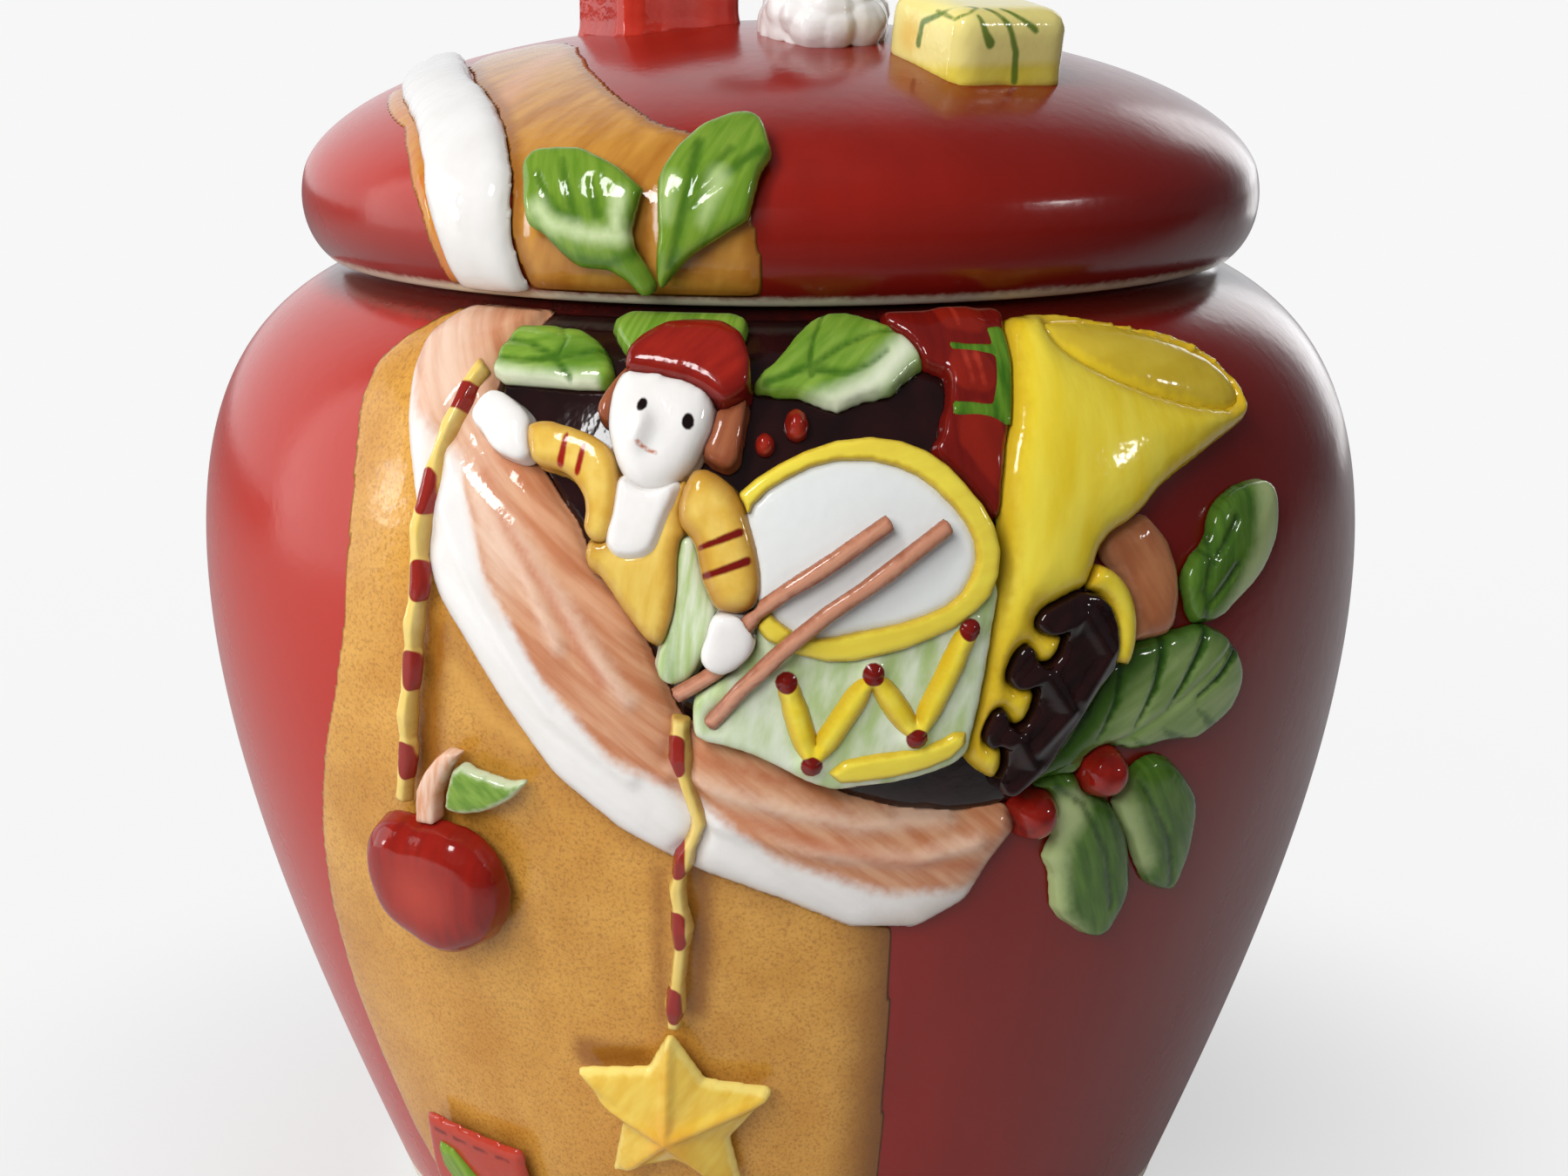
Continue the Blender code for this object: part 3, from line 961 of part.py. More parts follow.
def crown_height(place):
    """Height of the dome at a place on the lid, in millimetres."""
    radius = math.hypot(*place)
    for low, high in zip(LID_WALL_LINE, LID_WALL_LINE[1:]):
        if high[0] <= radius <= low[0]:
            share = (low[0] - radius)/(low[0] - high[0])
            return low[1] + share*(high[1] - low[1])
    return LID_WALL_LINE[-1][1]


def room_of(item, cutters):
    """A cutter: a piece of the handle with the gap added all round."""
    mesh = item.data.copy()
    shape = bmesh.new()
    shape.from_mesh(mesh)
    shape.normal_update()
    moved = [vert.co + vert.normal*ROOM_GROWTH*MM for vert in shape.verts]
    for vert, place in zip(shape.verts, moved):
        vert.co = place
    shape.to_mesh(mesh)
    shape.free()
    tool = bpy.data.objects.new(item.name + "_room", mesh)
    cutters.objects.link(tool)
    tool.hide_render = True
    tool.display_type = "WIRE"
    return tool


def seated(name, colour, item, collection, parent, neighbours):
    """Cuts a piece of the handle clear of the dome and of its neighbours."""
    for neighbour in neighbours:
        cut = item.modifiers.new("seat", "BOOLEAN")
        cut.operation = "DIFFERENCE"
        cut.object = neighbour
    return keep(name, evaluated_mesh(item), colour, collection, parent)


def parcel(size, place, turn, tilt, sink):
    """A box with soft corners, turned about the upright and tilted outwards."""
    bpy.ops.mesh.primitive_cube_add(size=1)
    box = bpy.context.active_object
    box.data.transform(Matrix.Diagonal((*[side*MM for side in size], 1)))
    soft = box.modifiers.new("soft corners", "BEVEL")
    soft.width = PARCEL_ROUND*MM
    soft.segments = 2
    outward = math.atan2(place[1], place[0])
    lean = Matrix.Rotation(math.radians(tilt), 4, Vector((-math.sin(outward),
                                                          math.cos(outward), 0)))
    box.rotation_euler = (lean @ Matrix.Rotation(math.radians(turn), 4, "Z")).to_euler()
    height = crown_height(place) - sink + size[2]/2
    box.location = Vector((place[0], place[1], height))*MM
    bpy.context.view_layer.update()
    return box


def ball(place, size, segments, rings):
    """A rounded lump with its three half widths."""
    bpy.ops.mesh.primitive_uv_sphere_add(segments=segments, ring_count=rings, radius=1)
    lump = bpy.context.active_object
    lump.data.transform(Matrix.Diagonal((*[side*MM for side in size], 1)))
    lump.location = Vector(place)*MM
    bpy.context.view_layer.update()
    return lump


def handle(collection, parent, cutters):
    """The two presents and the fur-trimmed cap on top of the lid."""
    dome = dome_cutter(cutters)
    box = parcel(RED_PARCEL_SIZE, RED_PARCEL_PLACE, RED_PARCEL_TURN, 0, PARCEL_SINK)
    red = seated("knob_parcel_red", RED, box, collection, parent, [dome])
    box = parcel(YELLOW_PARCEL_SIZE, YELLOW_PARCEL_PLACE, YELLOW_PARCEL_TURN,
                 YELLOW_PARCEL_TILT, YELLOW_PARCEL_SINK)
    yellow = seated("knob_parcel_yellow", SOFT_YELLOW, box, collection, parent, [dome])
    rooms = [dome, room_of(red, cutters), room_of(yellow, cutters)]

    lump = ball((*BRIM_PLACE, crown_height(BRIM_PLACE) + BRIM_RISE), BRIM_SIZE, 20, 12)
    brim = seated("knob_cap_brim", WHITE, lump, collection, parent, rooms)
    rooms.append(room_of(brim, cutters))

    mesh = cord(CAP_LINE, CAP_RADIUS, sides=3, swell=CAP_TAPER)
    mesh.transform(Matrix.Scale(MM, 4))
    tube = bpy.data.objects.new("cap", mesh)
    bpy.context.scene.collection.objects.link(tube)
    cap = seated("knob_cap", RED, tube, collection, parent, rooms)
    rooms.append(room_of(cap, cutters))

    lump = ball(POMPOM_PLACE, (POMPOM_RADIUS,)*3, 14, 8)
    seated("knob_pompom", WHITE, lump, collection, parent, rooms)


def main():
    clear_scene()
    jar_parts = new_collection("cookie_jar")
    cutters = new_collection("cutters")
    jar = bpy.data.objects.new("jar", None)
    lid = bpy.data.objects.new("lid", None)
    for empty in (jar, lid):
        jar_parts.objects.link(empty)
    shell("jar_body", jar_profile(), RED, jar_parts, jar)
    shell("lid_shell", lid_profile(), RED, jar_parts, lid)
    lay_on(JAR_SKIN, jar_sprigs(), jar_parts, jar)
    lay_on(LID_SKIN, lid_sprigs(), jar_parts, lid)
    handle(jar_parts, lid, cutters)
    triangles = 0
    for item in jar_parts.objects:
        if item.type == "MESH":
            count = sum(len(face.vertices) - 2 for face in item.data.polygons)
            triangles += count
            print(item.name, count)
    print("triangles", triangles)


main()
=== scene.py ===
# %% [markdown]
# # A cookie jar with raised, hand-painted toys
#
# The real jar is cast stoneware. Its sack, doll, drum, horn, leaves and fruit are flat sprigs of
# clay, pressed on while the wall was soft, painted by hand and fired under one clear glaze. The
# measured part gives the places. Here each piece gets its soft edges and its painted glaze.

# %% Load the measured part
import math

import bpy
import numpy as np
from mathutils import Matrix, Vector, kdtree


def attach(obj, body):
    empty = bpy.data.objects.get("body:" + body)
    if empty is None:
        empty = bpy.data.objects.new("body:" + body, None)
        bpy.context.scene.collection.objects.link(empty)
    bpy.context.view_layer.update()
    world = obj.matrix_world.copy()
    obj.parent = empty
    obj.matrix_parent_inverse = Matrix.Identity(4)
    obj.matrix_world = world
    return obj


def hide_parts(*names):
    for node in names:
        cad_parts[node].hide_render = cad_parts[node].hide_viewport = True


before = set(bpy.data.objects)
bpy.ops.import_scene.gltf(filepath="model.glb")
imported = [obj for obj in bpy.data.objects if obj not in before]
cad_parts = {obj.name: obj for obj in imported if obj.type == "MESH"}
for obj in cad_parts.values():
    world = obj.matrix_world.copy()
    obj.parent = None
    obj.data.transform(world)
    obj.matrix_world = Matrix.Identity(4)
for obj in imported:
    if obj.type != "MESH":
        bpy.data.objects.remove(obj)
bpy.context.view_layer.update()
MM = 0.001

# %% [markdown]
# ## The camera
#
# The photograph was taken from just above the lid with a short telephoto lens, so close that the
# foot and the top of the handle lie outside. A camera is an object with a lens, so it is made, put
# in its place, tilted down and handed to the scene.

# %% Place the camera
CAMERA_PLACE, CAMERA_TILT = (0.0, -0.549, 0.232), 77.1
view = bpy.data.cameras.new("photo_view")
view.lens = 71.42
view.sensor_width = 36.0
view.shift_x = 0.0022
view.dof.use_dof = False
camera = bpy.data.objects.new("photo_view", view)
camera.location = CAMERA_PLACE
camera.rotation_euler = (math.radians(CAMERA_TILT), 0.0, 0.0)
bpy.context.scene.collection.objects.link(camera)
bpy.context.scene.camera = camera
bpy.context.scene.view_settings.view_transform = "Standard"
print("camera at", tuple(camera.location))

# %% [markdown]
# ## A shorthand for shader sums
#
# Hand-painted glaze is a pile of thin layers, and each layer is a sum or a mix of node outputs.
# This class wraps one output, so that a layer reads as one line of sums instead of a dozen lines
# that add and link nodes.

# %% Wrap a shader output


class Dab:
    """One output of a shader node, which can be summed, multiplied and mixed."""

    def __init__(self, tree, socket=None):
        self.tree = tree
        self.socket = socket

    def node(self, kind, settings=None, sockets=None, output=0):
        """Adds any node, sets it up, fills its sockets and wraps one of its outputs."""
        made = self.tree.nodes.new(kind)
        for name, value in (settings or {}).items():
            setattr(made, name, value)
        for name, value in (sockets or {}).items():
            if isinstance(value, Dab):
                self.tree.links.new(value.socket, made.inputs[name])
            else:
                made.inputs[name].default_value = value
        return Dab(self.tree, made.outputs[output])

    def math(self, operation, first, second=0.0):
        return self.node("ShaderNodeMath", {"operation": operation}, {0: first, 1: second})

    def __add__(self, other):
        return self.math("ADD", self, other)

    def __radd__(self, other):
        return self.math("ADD", other, self)

    def __sub__(self, other):
        return self.math("SUBTRACT", self, other)

    def __rsub__(self, other):
        return self.math("SUBTRACT", other, self)

    def __mul__(self, other):
        return self.math("MULTIPLY", self, other)

    def __rmul__(self, other):
        return self.math("MULTIPLY", other, self)

    def attribute(self, name, output="Fac"):
        """A value stored on the mesh: a number (Fac) or a place (Vector)."""
        return self.node("ShaderNodeAttribute", {"attribute_name": name}, output=output)

    def ramp(self, start, end):
        """0 at start, 1 at end, and smooth between them."""
        return self.node("ShaderNodeMapRange", {"interpolation_type": "SMOOTHSTEP"},
                         {"Value": self, "From Min": start, "From Max": end})

    def blend(self, low, high):
        """A mix of two colours, with this output as the share of the second one."""
        colours = {}
        for socket, colour in ((6, low), (7, high)):
            colours[socket] = colour if isinstance(colour, Dab) else (*colour, 1.0)
        return self.node("ShaderNodeMix", {"data_type": "RGBA"}, {0: self, **colours}, output=2)

    def mixed(self, first, second):
        """A mix of two shaders, with this output as the share of the second one."""
        return self.node("ShaderNodeMixShader", None, {0: self, 1: first, 2: second})

    def along(self, direction):
        """How far a place lies in a direction."""
        return self.node("ShaderNodeVectorMath", {"operation": "DOT_PRODUCT"},
                         {0: self, 1: direction}, output="Value")

    def noise(self, scale, detail=3.0, roughness=0.5):
        """Soft random clouds from 0 to 1 at a place."""
        return self.node("ShaderNodeTexNoise", None, {"Vector": self, "Scale": scale,
                                                      "Detail": detail, "Roughness": roughness})

    def feed(self, node, socket):
        """Leads this output to a socket of a node that is there already."""
        self.tree.links.new(self.socket, self.tree.nodes[node].inputs[socket])


def new_glaze(name):
    """An empty glaze: its material, its shader and a first dab to paint with."""
    material = bpy.data.materials.new(name)
    material.use_nodes = True
    shader = material.node_tree.nodes["Principled BSDF"]
    return material, shader, Dab(material.node_tree)


print("a dab can:", [name for name in vars(Dab) if not name.startswith("_")])

# %% [markdown]
# ## The floor
#
# The jar stands on white paper with no horizon. The camera sees the paper partly as an even glow
# and partly as a lit surface that keeps the soft shadow. To the front and the right its colour
# turns dark, because the glaze mirrors a dark room there.

# %% Lay the floor
PAPER_GLOW = (0.93, 0.93, 0.93, 1.0)
PAPER_NEAR, PAPER_FAR = (0.66, 0.66, 0.66), (0.12, 0.12, 0.12)
bpy.ops.mesh.primitive_plane_add(size=8.0, location=(0.0, 0.0, 0.0))
floor = bpy.context.active_object
floor.name = "floor"
floor_paint, shader, dab = new_glaze("floor_paint")
shader.inputs["Roughness"].default_value = 0.9
shader.inputs["Specular IOR Level"].default_value = 0.1
ground = dab.node("ShaderNodeTexCoord", output="Object")
distance = ground.node("ShaderNodeVectorMath", {"operation": "LENGTH"}, {0: ground}, output="Value")
ground.along((0.5, -0.86, 0.0)).ramp(0.12, 0.36).blend(PAPER_NEAR, PAPER_FAR).feed(
    "Principled BSDF", "Base Color")
seen = dab.node("ShaderNodeLightPath", output="Is Camera Ray")
glow = dab.node("ShaderNodeEmission", None, {"Color": PAPER_GLOW})
share = distance.ramp(0.07, 0.2) * 0.35 + distance.ramp(0.15, 0.7) * 0.03 + 0.62
(share * seen).mixed(Dab(dab.tree, shader.outputs[0]), glow).feed("Material Output", "Surface")
floor.data.materials.append(floor_paint)
print("floor is", tuple(floor.dimensions))

# %% [markdown]
# ## The room
#
# The front of the glaze mirrors a dark corner of a bright room, and its two edges mirror white. A
# world that turns from dark to white with the direction gives both. Only the camera sees plain
# white behind the jar.

# %% Build the room
ROOM_AHEAD, ROOM_BEHIND = (0.10, 0.10, 0.11, 1.0), (0.92, 0.94, 0.97, 1.0)
world = bpy.data.worlds.new("studio")
bpy.context.scene.world = world
world.use_nodes = True
room = Dab(world.node_tree)
ahead, behind, white = [room.node("ShaderNodeBackground", None, {"Color": colour})
                        for colour in (ROOM_AHEAD, ROOM_BEHIND, PAPER_GLOW)]
depth = room.node("ShaderNodeTexCoord", output="Generated").along((-0.32, 0.95, 0.0))
seen = room.node("ShaderNodeLightPath", output="Is Camera Ray")
seen.mixed(depth.ramp(0.38, 0.8).mixed(ahead, behind), white).feed("World Output", "Surface")
print("room nodes:", len(world.node_tree.nodes))

# %% [markdown]
# ## The lamps
#
# Glossy clay shows its lamps, so each lamp is a shape to be seen: a wide wall gives the broad sheen
# and small windows give the gleams. Two fills in front light the colours and are hidden from the
# glaze, so they leave no mirror image.

# %% Hang the lamps
LAMP_HEIGHT = 0.12


def softbox(name, turn, rise, reach, size, power):
    """A soft square light at a turn and a rise in degrees, facing the jar."""
    turn, rise = math.radians(turn), math.radians(rise)
    place = Vector((math.sin(turn)*math.cos(rise), -math.cos(turn)*math.cos(rise), math.sin(rise)))
    light = bpy.data.lights.new(name, "AREA")
    light.shape = "RECTANGLE"
    light.size, light.size_y = size
    light.energy = power
    lamp = bpy.data.objects.new(name, light)
    lamp.location = place*reach + Vector((0.0, 0.0, LAMP_HEIGHT))
    lamp.rotation_euler = (-place).to_track_quat("-Z", "Y").to_euler()
    bpy.context.scene.collection.objects.link(lamp)
    return lamp


softbox("left_wall", -93, 2, 1.1, (0.65, 1.5), 4.4)
softbox("left_window", -77, 13, 1.0, (0.06, 0.26), 0.7)
softbox("right_lamp", 68, 23, 1.2, (0.13, 0.08), 0.9)
softbox("upper_window", -38, 46, 1.2, (0.22, 0.34), 4.5)
softbox("right_wall", 150, 4, 1.2, (0.3, 1.2), 1.8).visible_camera = False
for lamp in (softbox("front_fill", -22, 26, 1.3, (0.8, 0.5), 11.0),
             softbox("top_light", 0, 80, 1.1, (0.5, 0.4), 1.0)):
    lamp.visible_glossy = False

# %% [markdown]
# ## The wall as a sheet of paper
#
# A figure is easiest to draw flat. Unrolled, the wall is a sheet: across it runs the way round, up
# it runs the height, and a third number says how far a point stands off the wall. This class takes
# the sprigs off the part's flat facets and lays them on the round wall.

# %% Unroll and roll up a wall
FACETS = 48


def curve_points(pulls, steps):
    """Points of a cubic curve in rows of (radius, height)."""
    t = np.linspace(0.0, 1.0, steps + 1)[:, None]
    u = 1.0 - t
    a, b, c, d = [np.array(pull, float) for pull in pulls]
    return u**3*a + 3*u*u*t*b + 3*u*t*t*c + t**3*d


def outward_normals(line):
    """Normals of a wall that is listed from bottom to top."""
    run = np.empty_like(line)
    run[1:-1] = line[2:] - line[:-2]
    run[0] = line[1] - line[0]
    run[-1] = line[-1] - line[-2]
    run /= np.linalg.norm(run, axis=1)[:, None]
    return np.stack([run[:, 1], -run[:, 0]], axis=1)


class Wall:
    """A turned wall, both smooth and in the part's facets."""

    def __init__(self, curves, radius, length=None):
        self.radius = radius
        coarse, smooth = [], []
        for pulls, rows in curves:
            skip = 1 if coarse else 0
            coarse += list(curve_points(pulls, rows))[skip:]
            smooth += list(curve_points(pulls, rows*16))[skip:]
        self.coarse, self.smooth = np.array(coarse), np.array(smooth)
        steps = np.linalg.norm(np.diff(self.coarse, axis=0), axis=1)
        along = np.concatenate([[0.0], np.cumsum(steps)])
        self.marks = along*length/along[-1] if length else self.coarse[:, 1]
        spots = np.arange(len(self.smooth))/16
        self.smooth_marks = np.interp(spots, np.arange(len(self.marks)), self.marks)

    def at(self, up, round_wall):
        """Foot point and normal at a height of the sheet."""
        line = self.smooth if round_wall else self.coarse
        marks = self.smooth_marks if round_wall else self.marks
        normals = outward_normals(line)
        foot = np.stack([np.interp(up, marks, line[:, axis]) for axis in (0, 1)], axis=1)
        normal = np.stack([np.interp(up, marks, normals[:, axis]) for axis in (0, 1)], axis=1)
        return foot, normal

    def unroll(self, places):
        """Places on the facets, in metres, as (across, up, rise) in millimetres."""
        x, y, z = (places/MM).T
        angle = np.arctan2(x, -y)*FACETS/(2*math.pi)
        first = np.floor(angle)
        half = math.pi/FACETS
        lean = (angle - first - 0.5)*2*half
        across = (first + 0.5 + np.tan(lean)/(2*math.tan(half)))*2*half*self.radius
        spot = np.stack([np.hypot(x, y)*np.cos(lean)/math.cos(half), z], axis=1)
        tries = np.linspace(self.marks[0], self.marks[-1], 90)
        guess, _ = self.at(tries, False)
        far = ((spot[:, None, :] - guess[None])**2).sum(axis=2)
        up = tries[far.argmin(axis=1)]
        for _ in range(12):
            foot, normal = self.at(up, False)
            ahead, _ = self.at(up + 0.5, False)
            behind, _ = self.at(up - 0.5, False)
            pace = np.maximum(np.linalg.norm(ahead - behind, axis=1), 0.2)
            off = spot - foot
            slide = off[:, 1]*normal[:, 0] - off[:, 0]*normal[:, 1]
            up = np.clip(up + 0.9*slide/pace, self.marks[0], self.marks[-1])
        foot, normal = self.at(up, False)
        rise = ((spot - foot)*normal).sum(axis=1)
        return np.stack([across, up, rise], axis=1)

    def roll(self, sheet):
        """Places on the round wall, in metres, of points of the sheet."""
        foot, normal = self.at(sheet[:, 1], True)
        spot = foot + sheet[:, 2:3]*normal
        angle = sheet[:, 0]/self.radius
        return np.stack([spot[:, 0]*np.sin(angle), -spot[:, 0]*np.cos(angle), spot[:, 1]],
                        axis=1)*MM


BELLY = (101.8, 118.0)
JAR = Wall([([(68.6, 0), (83.0, 35.0), (101.8, 80.0), BELLY], 8),
            ([BELLY, (101.8, 146.0), (92.0, 159.0), (76.0, 166.3)], 6)], 101.8)
SIDE_TOP = (82.6, 183.3)
LID = Wall([([(79.0, 168.5), (83.0, 171.825), (84.2, 177.945), SIDE_TOP], 3),
            ([SIDE_TOP, (79.5, 191.8), (60.0, 206.0), (0.0, 207.5)], 7)], 83.0, 109.0)
print("sheet of the jar is", JAR.marks[-1], "mm tall, of the lid", LID.marks[-1])

# %% [markdown]
# ## Turning on the wheel
#
# Jar and lid are round, so each is a profile spun about the upright axis, as on a potter's wheel.
# One point is pushed along the profile, then the line is spun in edit mode.

# %% Spin a profile
SPIN_STEPS, MERGE_REACH = 240, 0.00001


def select_only(piece):
    """Leaves one object selected and active."""
    bpy.ops.object.select_all(action="DESELECT")
    piece.select_set(True)
    bpy.context.view_layer.objects.active = piece


def tidy_mesh(piece):
    """Merges doubled corners, turns the faces outward and shades them smooth."""
    select_only(piece)
    bpy.ops.object.mode_set(mode="EDIT")
    bpy.ops.mesh.select_all(action="SELECT")
    bpy.ops.mesh.remove_doubles(threshold=MERGE_REACH)
    bpy.ops.mesh.normals_make_consistent(inside=False)
    bpy.ops.object.mode_set(mode="OBJECT")
    bpy.ops.object.shade_smooth()


def spun(name, profile):
    """Draws a profile of (radius, height) in millimetres and spins it."""
    bpy.ops.object.select_all(action="DESELECT")
    bpy.ops.mesh.primitive_plane_add(size=0.001, location=(0.0, 0.0, 0.0))
    piece = bpy.context.active_object
    piece.name = name
    bpy.ops.object.mode_set(mode="EDIT")
    bpy.ops.mesh.select_all(action="SELECT")
    bpy.ops.mesh.merge(type="CENTER")
    bpy.ops.mesh.select_all(action="SELECT")
    radius, height = profile[0]
    bpy.ops.transform.translate(value=(radius*MM, 0.0, height*MM))
    for (radius, height), (next_radius, next_height) in zip(profile, profile[1:]):
        step = ((next_radius - radius)*MM, 0.0, (next_height - height)*MM)
        bpy.ops.mesh.extrude_vertices_move(TRANSFORM_OT_translate={"value": step})
    bpy.ops.mesh.select_all(action="SELECT")
    bpy.ops.mesh.spin(steps=SPIN_STEPS, angle=2*math.pi, center=(0, 0, 0), axis=(0, 0, 1))
    bpy.ops.object.mode_set(mode="OBJECT")
    tidy_mesh(piece)
    return piece


# %% [markdown]
# ## The jar and the lid
#
# Each profile runs along the outside and the inside of a wall 5.5 mm thick. The lip, the foot and
# the lid's plug have small rounds, because glaze leaves no sharp corner.

# %% Spin the jar and the lid
THICKNESS, LIP, MOUTH, PLUG, PLUG_INSIDE = 5.5, 167.7, 68.0, 66.5, 61.5


def inner_wall(line, thickness, low, high):
    """The points of a wall moved inward, between two heights."""
    inside = line - thickness*outward_normals(line)
    keep = (inside[:, 1] > low) & (inside[:, 1] < high)
    return [tuple(point) for point in inside[keep]]


def bend(corner, start, end, steps=5):
    """A rounded corner between two points."""
    return [tuple(point) for point in curve_points([start, corner, corner, end], steps)]


def jar_profile():
    """From the middle of the inner floor up to the lip, and down the outside to the foot."""
    outer = [tuple(point) for point in JAR.smooth[::-2]]
    inner = inner_wall(JAR.smooth[::4], THICKNESS, 11.0, 160.0)
    lip = bend((MOUTH, LIP), (MOUTH, 166.9), (68.9, LIP)) + bend((75.4, LIP), (74.2, LIP), outer[0])
    foot = bend((68.6, 0.0), (69.6, 2.2), (66.8, 0.0))
    outer = [point for point in outer if point[1] > 2.4]
    return ([(0.0, 8.5), (58.0, 8.5)] + inner + [(MOUTH, 163.2)] + lip[:-1] + outer + foot
            + [(0.0, 0.0)])


def lid_profile():
    """From the crown down the outside, round the rim and the plug, and up the inside."""
    outer = [tuple(point) for point in LID.smooth[::-1]]
    inner = inner_wall(LID.smooth[::4], THICKNESS, 174.6, 201.9)
    rim = bend((78.4, 168.0), outer[-1], (76.0, 168.0))
    plug = [(PLUG, 168.0)] + bend((PLUG, 158.0), (PLUG, 159.0), (65.5, 158.0))
    plug += bend((PLUG_INSIDE, 158.0), (62.5, 158.0), (PLUG_INSIDE, 159.0))
    return outer[:-1] + rim + plug + [(PLUG_INSIDE, 173.5), (73.0, 173.5)] + inner + [(0.0, 202.0)]


def hand_in(piece, node):
    """Shades a finished piece smooth, puts it on its body and hides the node that it stands for."""
    body = "lid" if node.startswith(("lid_", "knob_")) else "jar"
    piece.data.shade_smooth()
    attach(piece, body)
    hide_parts(node)


pieces = {"jar_body": spun("jar_shell", jar_profile()),
          "lid_shell": spun("lid_dome", lid_profile())}
for node, piece in pieces.items():
    hand_in(piece, node)
    print(piece.name, "faces:", len(piece.data.polygons))

# %% [markdown]
# ## Corners and values
#
# A mesh is a list of corner places, and an attribute is one more list beside it. These helpers read
# and write both as whole tables, which is far quicker than a loop over corners.

# %% Read and write a mesh


def corners_of(piece):
    """The corner places of a mesh as rows."""
    places = np.empty(len(piece.data.vertices)*3)
    piece.data.vertices.foreach_get("co", places)
    return places.reshape(-1, 3)


def put_corners(piece, places):
    piece.data.vertices.foreach_set("co", places.ravel())
    piece.data.update()


def corner_normals(piece):
    normals = np.empty(len(piece.data.vertices)*3)
    piece.data.vertices.foreach_get("normal", normals)
    return normals.reshape(-1, 3)


def store(piece, name, values):
    """Keeps one number, or three, for each corner of a mesh."""
    kind = "FLOAT_VECTOR" if values.ndim == 2 else "FLOAT"
    layer = piece.data.attributes.new(name, kind, "POINT")
    layer.data.foreach_set("vector" if values.ndim == 2 else "value", values.ravel())


def modified(piece, kind, **settings):
    """Adds a modifier and applies it."""
    select_only(piece)
    change = piece.modifiers.new(kind.lower(), kind)
    for name, value in settings.items():
        setattr(change, name, value)
    bpy.ops.object.modifier_apply(modifier=change.name)


def clay_copy(node, grain, rounds, wall=None):
    """A piece of the part, copied, laid flat on request, with an even skin and round edges."""
    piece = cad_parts[node].copy()
    piece.data = piece.data.copy()
    piece.name = node + "_clay"
    bpy.context.scene.collection.objects.link(piece)
    piece.data.materials.clear()
    while piece.data.color_attributes:
        piece.data.color_attributes.remove(piece.data.color_attributes[0])
    tidy_mesh(piece)
    if wall:
        put_corners(piece, wall.unroll(corners_of(piece))*MM)
        tidy_mesh(piece)
    modified(piece, "REMESH", mode="VOXEL", voxel_size=grain*MM, use_smooth_shade=True)
    modified(piece, "SMOOTH", factor=0.5, iterations=rounds)
    return piece


print("jar corners:", corners_of(pieces["jar_body"]).shape)

# %% [markdown]
# ## Soft clay sprigs
#
# Wet clay rounds over, and glaze fills each join. So each piece of the part is copied, unrolled,
# remeshed into an even skin, smoothed, let down into the wall with a small flare at its foot, and
# rolled up on the round wall. Its place on the sheet and its distance from its outline are kept for
# the painting.

# %% Soften a sprig
FOOT_HEIGHT, FOOT_DEPTH, LAP, EDGE, DOME = 2.4, 0.35, 0.6, 0.6, 8.0


def rim_distance(flat, normals):
    """How far each point of a flat piece is from the piece's outline."""
    side = np.nonzero(np.abs(normals[:, 2]) < 0.45)[0]
    tree = kdtree.KDTree(len(side))
    for slot, index in enumerate(side):
        tree.insert((flat[index, 0], flat[index, 1], 0.0), slot)
    tree.balance()
    return np.array([tree.find((across, up, 0.0))[2] for across, up, _ in flat])


def soft_sprig(node, wall, grain, rounds, puff, flare, sink, shape):
    """A sprig of the part, made soft and laid on the round wall."""
    piece = clay_copy(node, grain, rounds, wall)
    flat = corners_of(piece)/MM
    normals = corner_normals(piece)
    flat += puff*normals
    rim = rim_distance(flat, normals)
    foot = flat[:, 2].min()
    low = np.clip(1.0 - (flat[:, 2] - foot)/FOOT_HEIGHT, 0.0, 1.0)
    spread = flare*low**2*np.clip(1.0 - np.abs(normals[:, 2]), 0, 1)
    flat[:, :2] += spread[:, None]*normals[:, :2]
    if foot < 1.0:
        flat[:, 2] -= (foot + FOOT_DEPTH)*low
        inward = np.minimum(rim/max(min(DOME, rim.max()), 0.5), 1.0)
        rounding = EDGE + (1.0 - EDGE)*np.sqrt(1.0 - (1.0 - inward)**2)
        flat[:, 2] = np.where(flat[:, 2] > 0.0, flat[:, 2]*sink*rounding, flat[:, 2])
    else:
        flat[:, 2] -= LAP*low
    if shape:
        flat = shape(flat, normals)
    store(piece, "sheet", flat)
    store(piece, "rim", rim)
    put_corners(piece, wall.roll(flat))
    hand_in(piece, node)
    return piece


print("a foot goes", FOOT_DEPTH, "mm into the wall and", LAP, "mm into another sprig")

# %% [markdown]
# ## Drawing on the sheet
#
# The painter and the modeller both think in lines: a vein here, a fold there. A line is a list of
# places on the sheet in millimetres, and the distance from it tells where to press a groove and
# where to lay a stroke of colour.

# %% Measure from drawn lines


def brushed(sheet, *strokes):
    """Millimetres to the edge of strokes of (start width, end width, line); negative inside."""
    far = np.full(len(sheet), 1e6)
    for wide, narrow, line in strokes:
        line = line if len(line) > 1 else [line[0], line[0]]
        steps = [math.dist(first, second) for first, second in zip(line, line[1:])]
        gone, total = 0.0, max(sum(steps), 1e-6)
        for first, second, step in zip(line, line[1:], steps):
            run = np.subtract(second, first)
            off = sheet[:, :len(first)] - first
            share = np.clip((off @ run)/max(step**2, 1e-9), 0.0, 1.0)
            off = np.linalg.norm(off - share[:, None]*run, axis=1)
            width = wide + (narrow - wide)*(gone + share*step)/total
            far = np.minimum(far, off - width/2)
            gone += step
    return far


def alike(wide, narrow, lines):
    """Strokes of the same two widths along several lines."""
    return [(wide, narrow, line) for line in lines]


def near(sheet, *lines):
    """Millimetres from each point of the sheet to the nearest of some drawn lines."""
    return brushed(sheet, *alike(0.0, 0.0, lines))


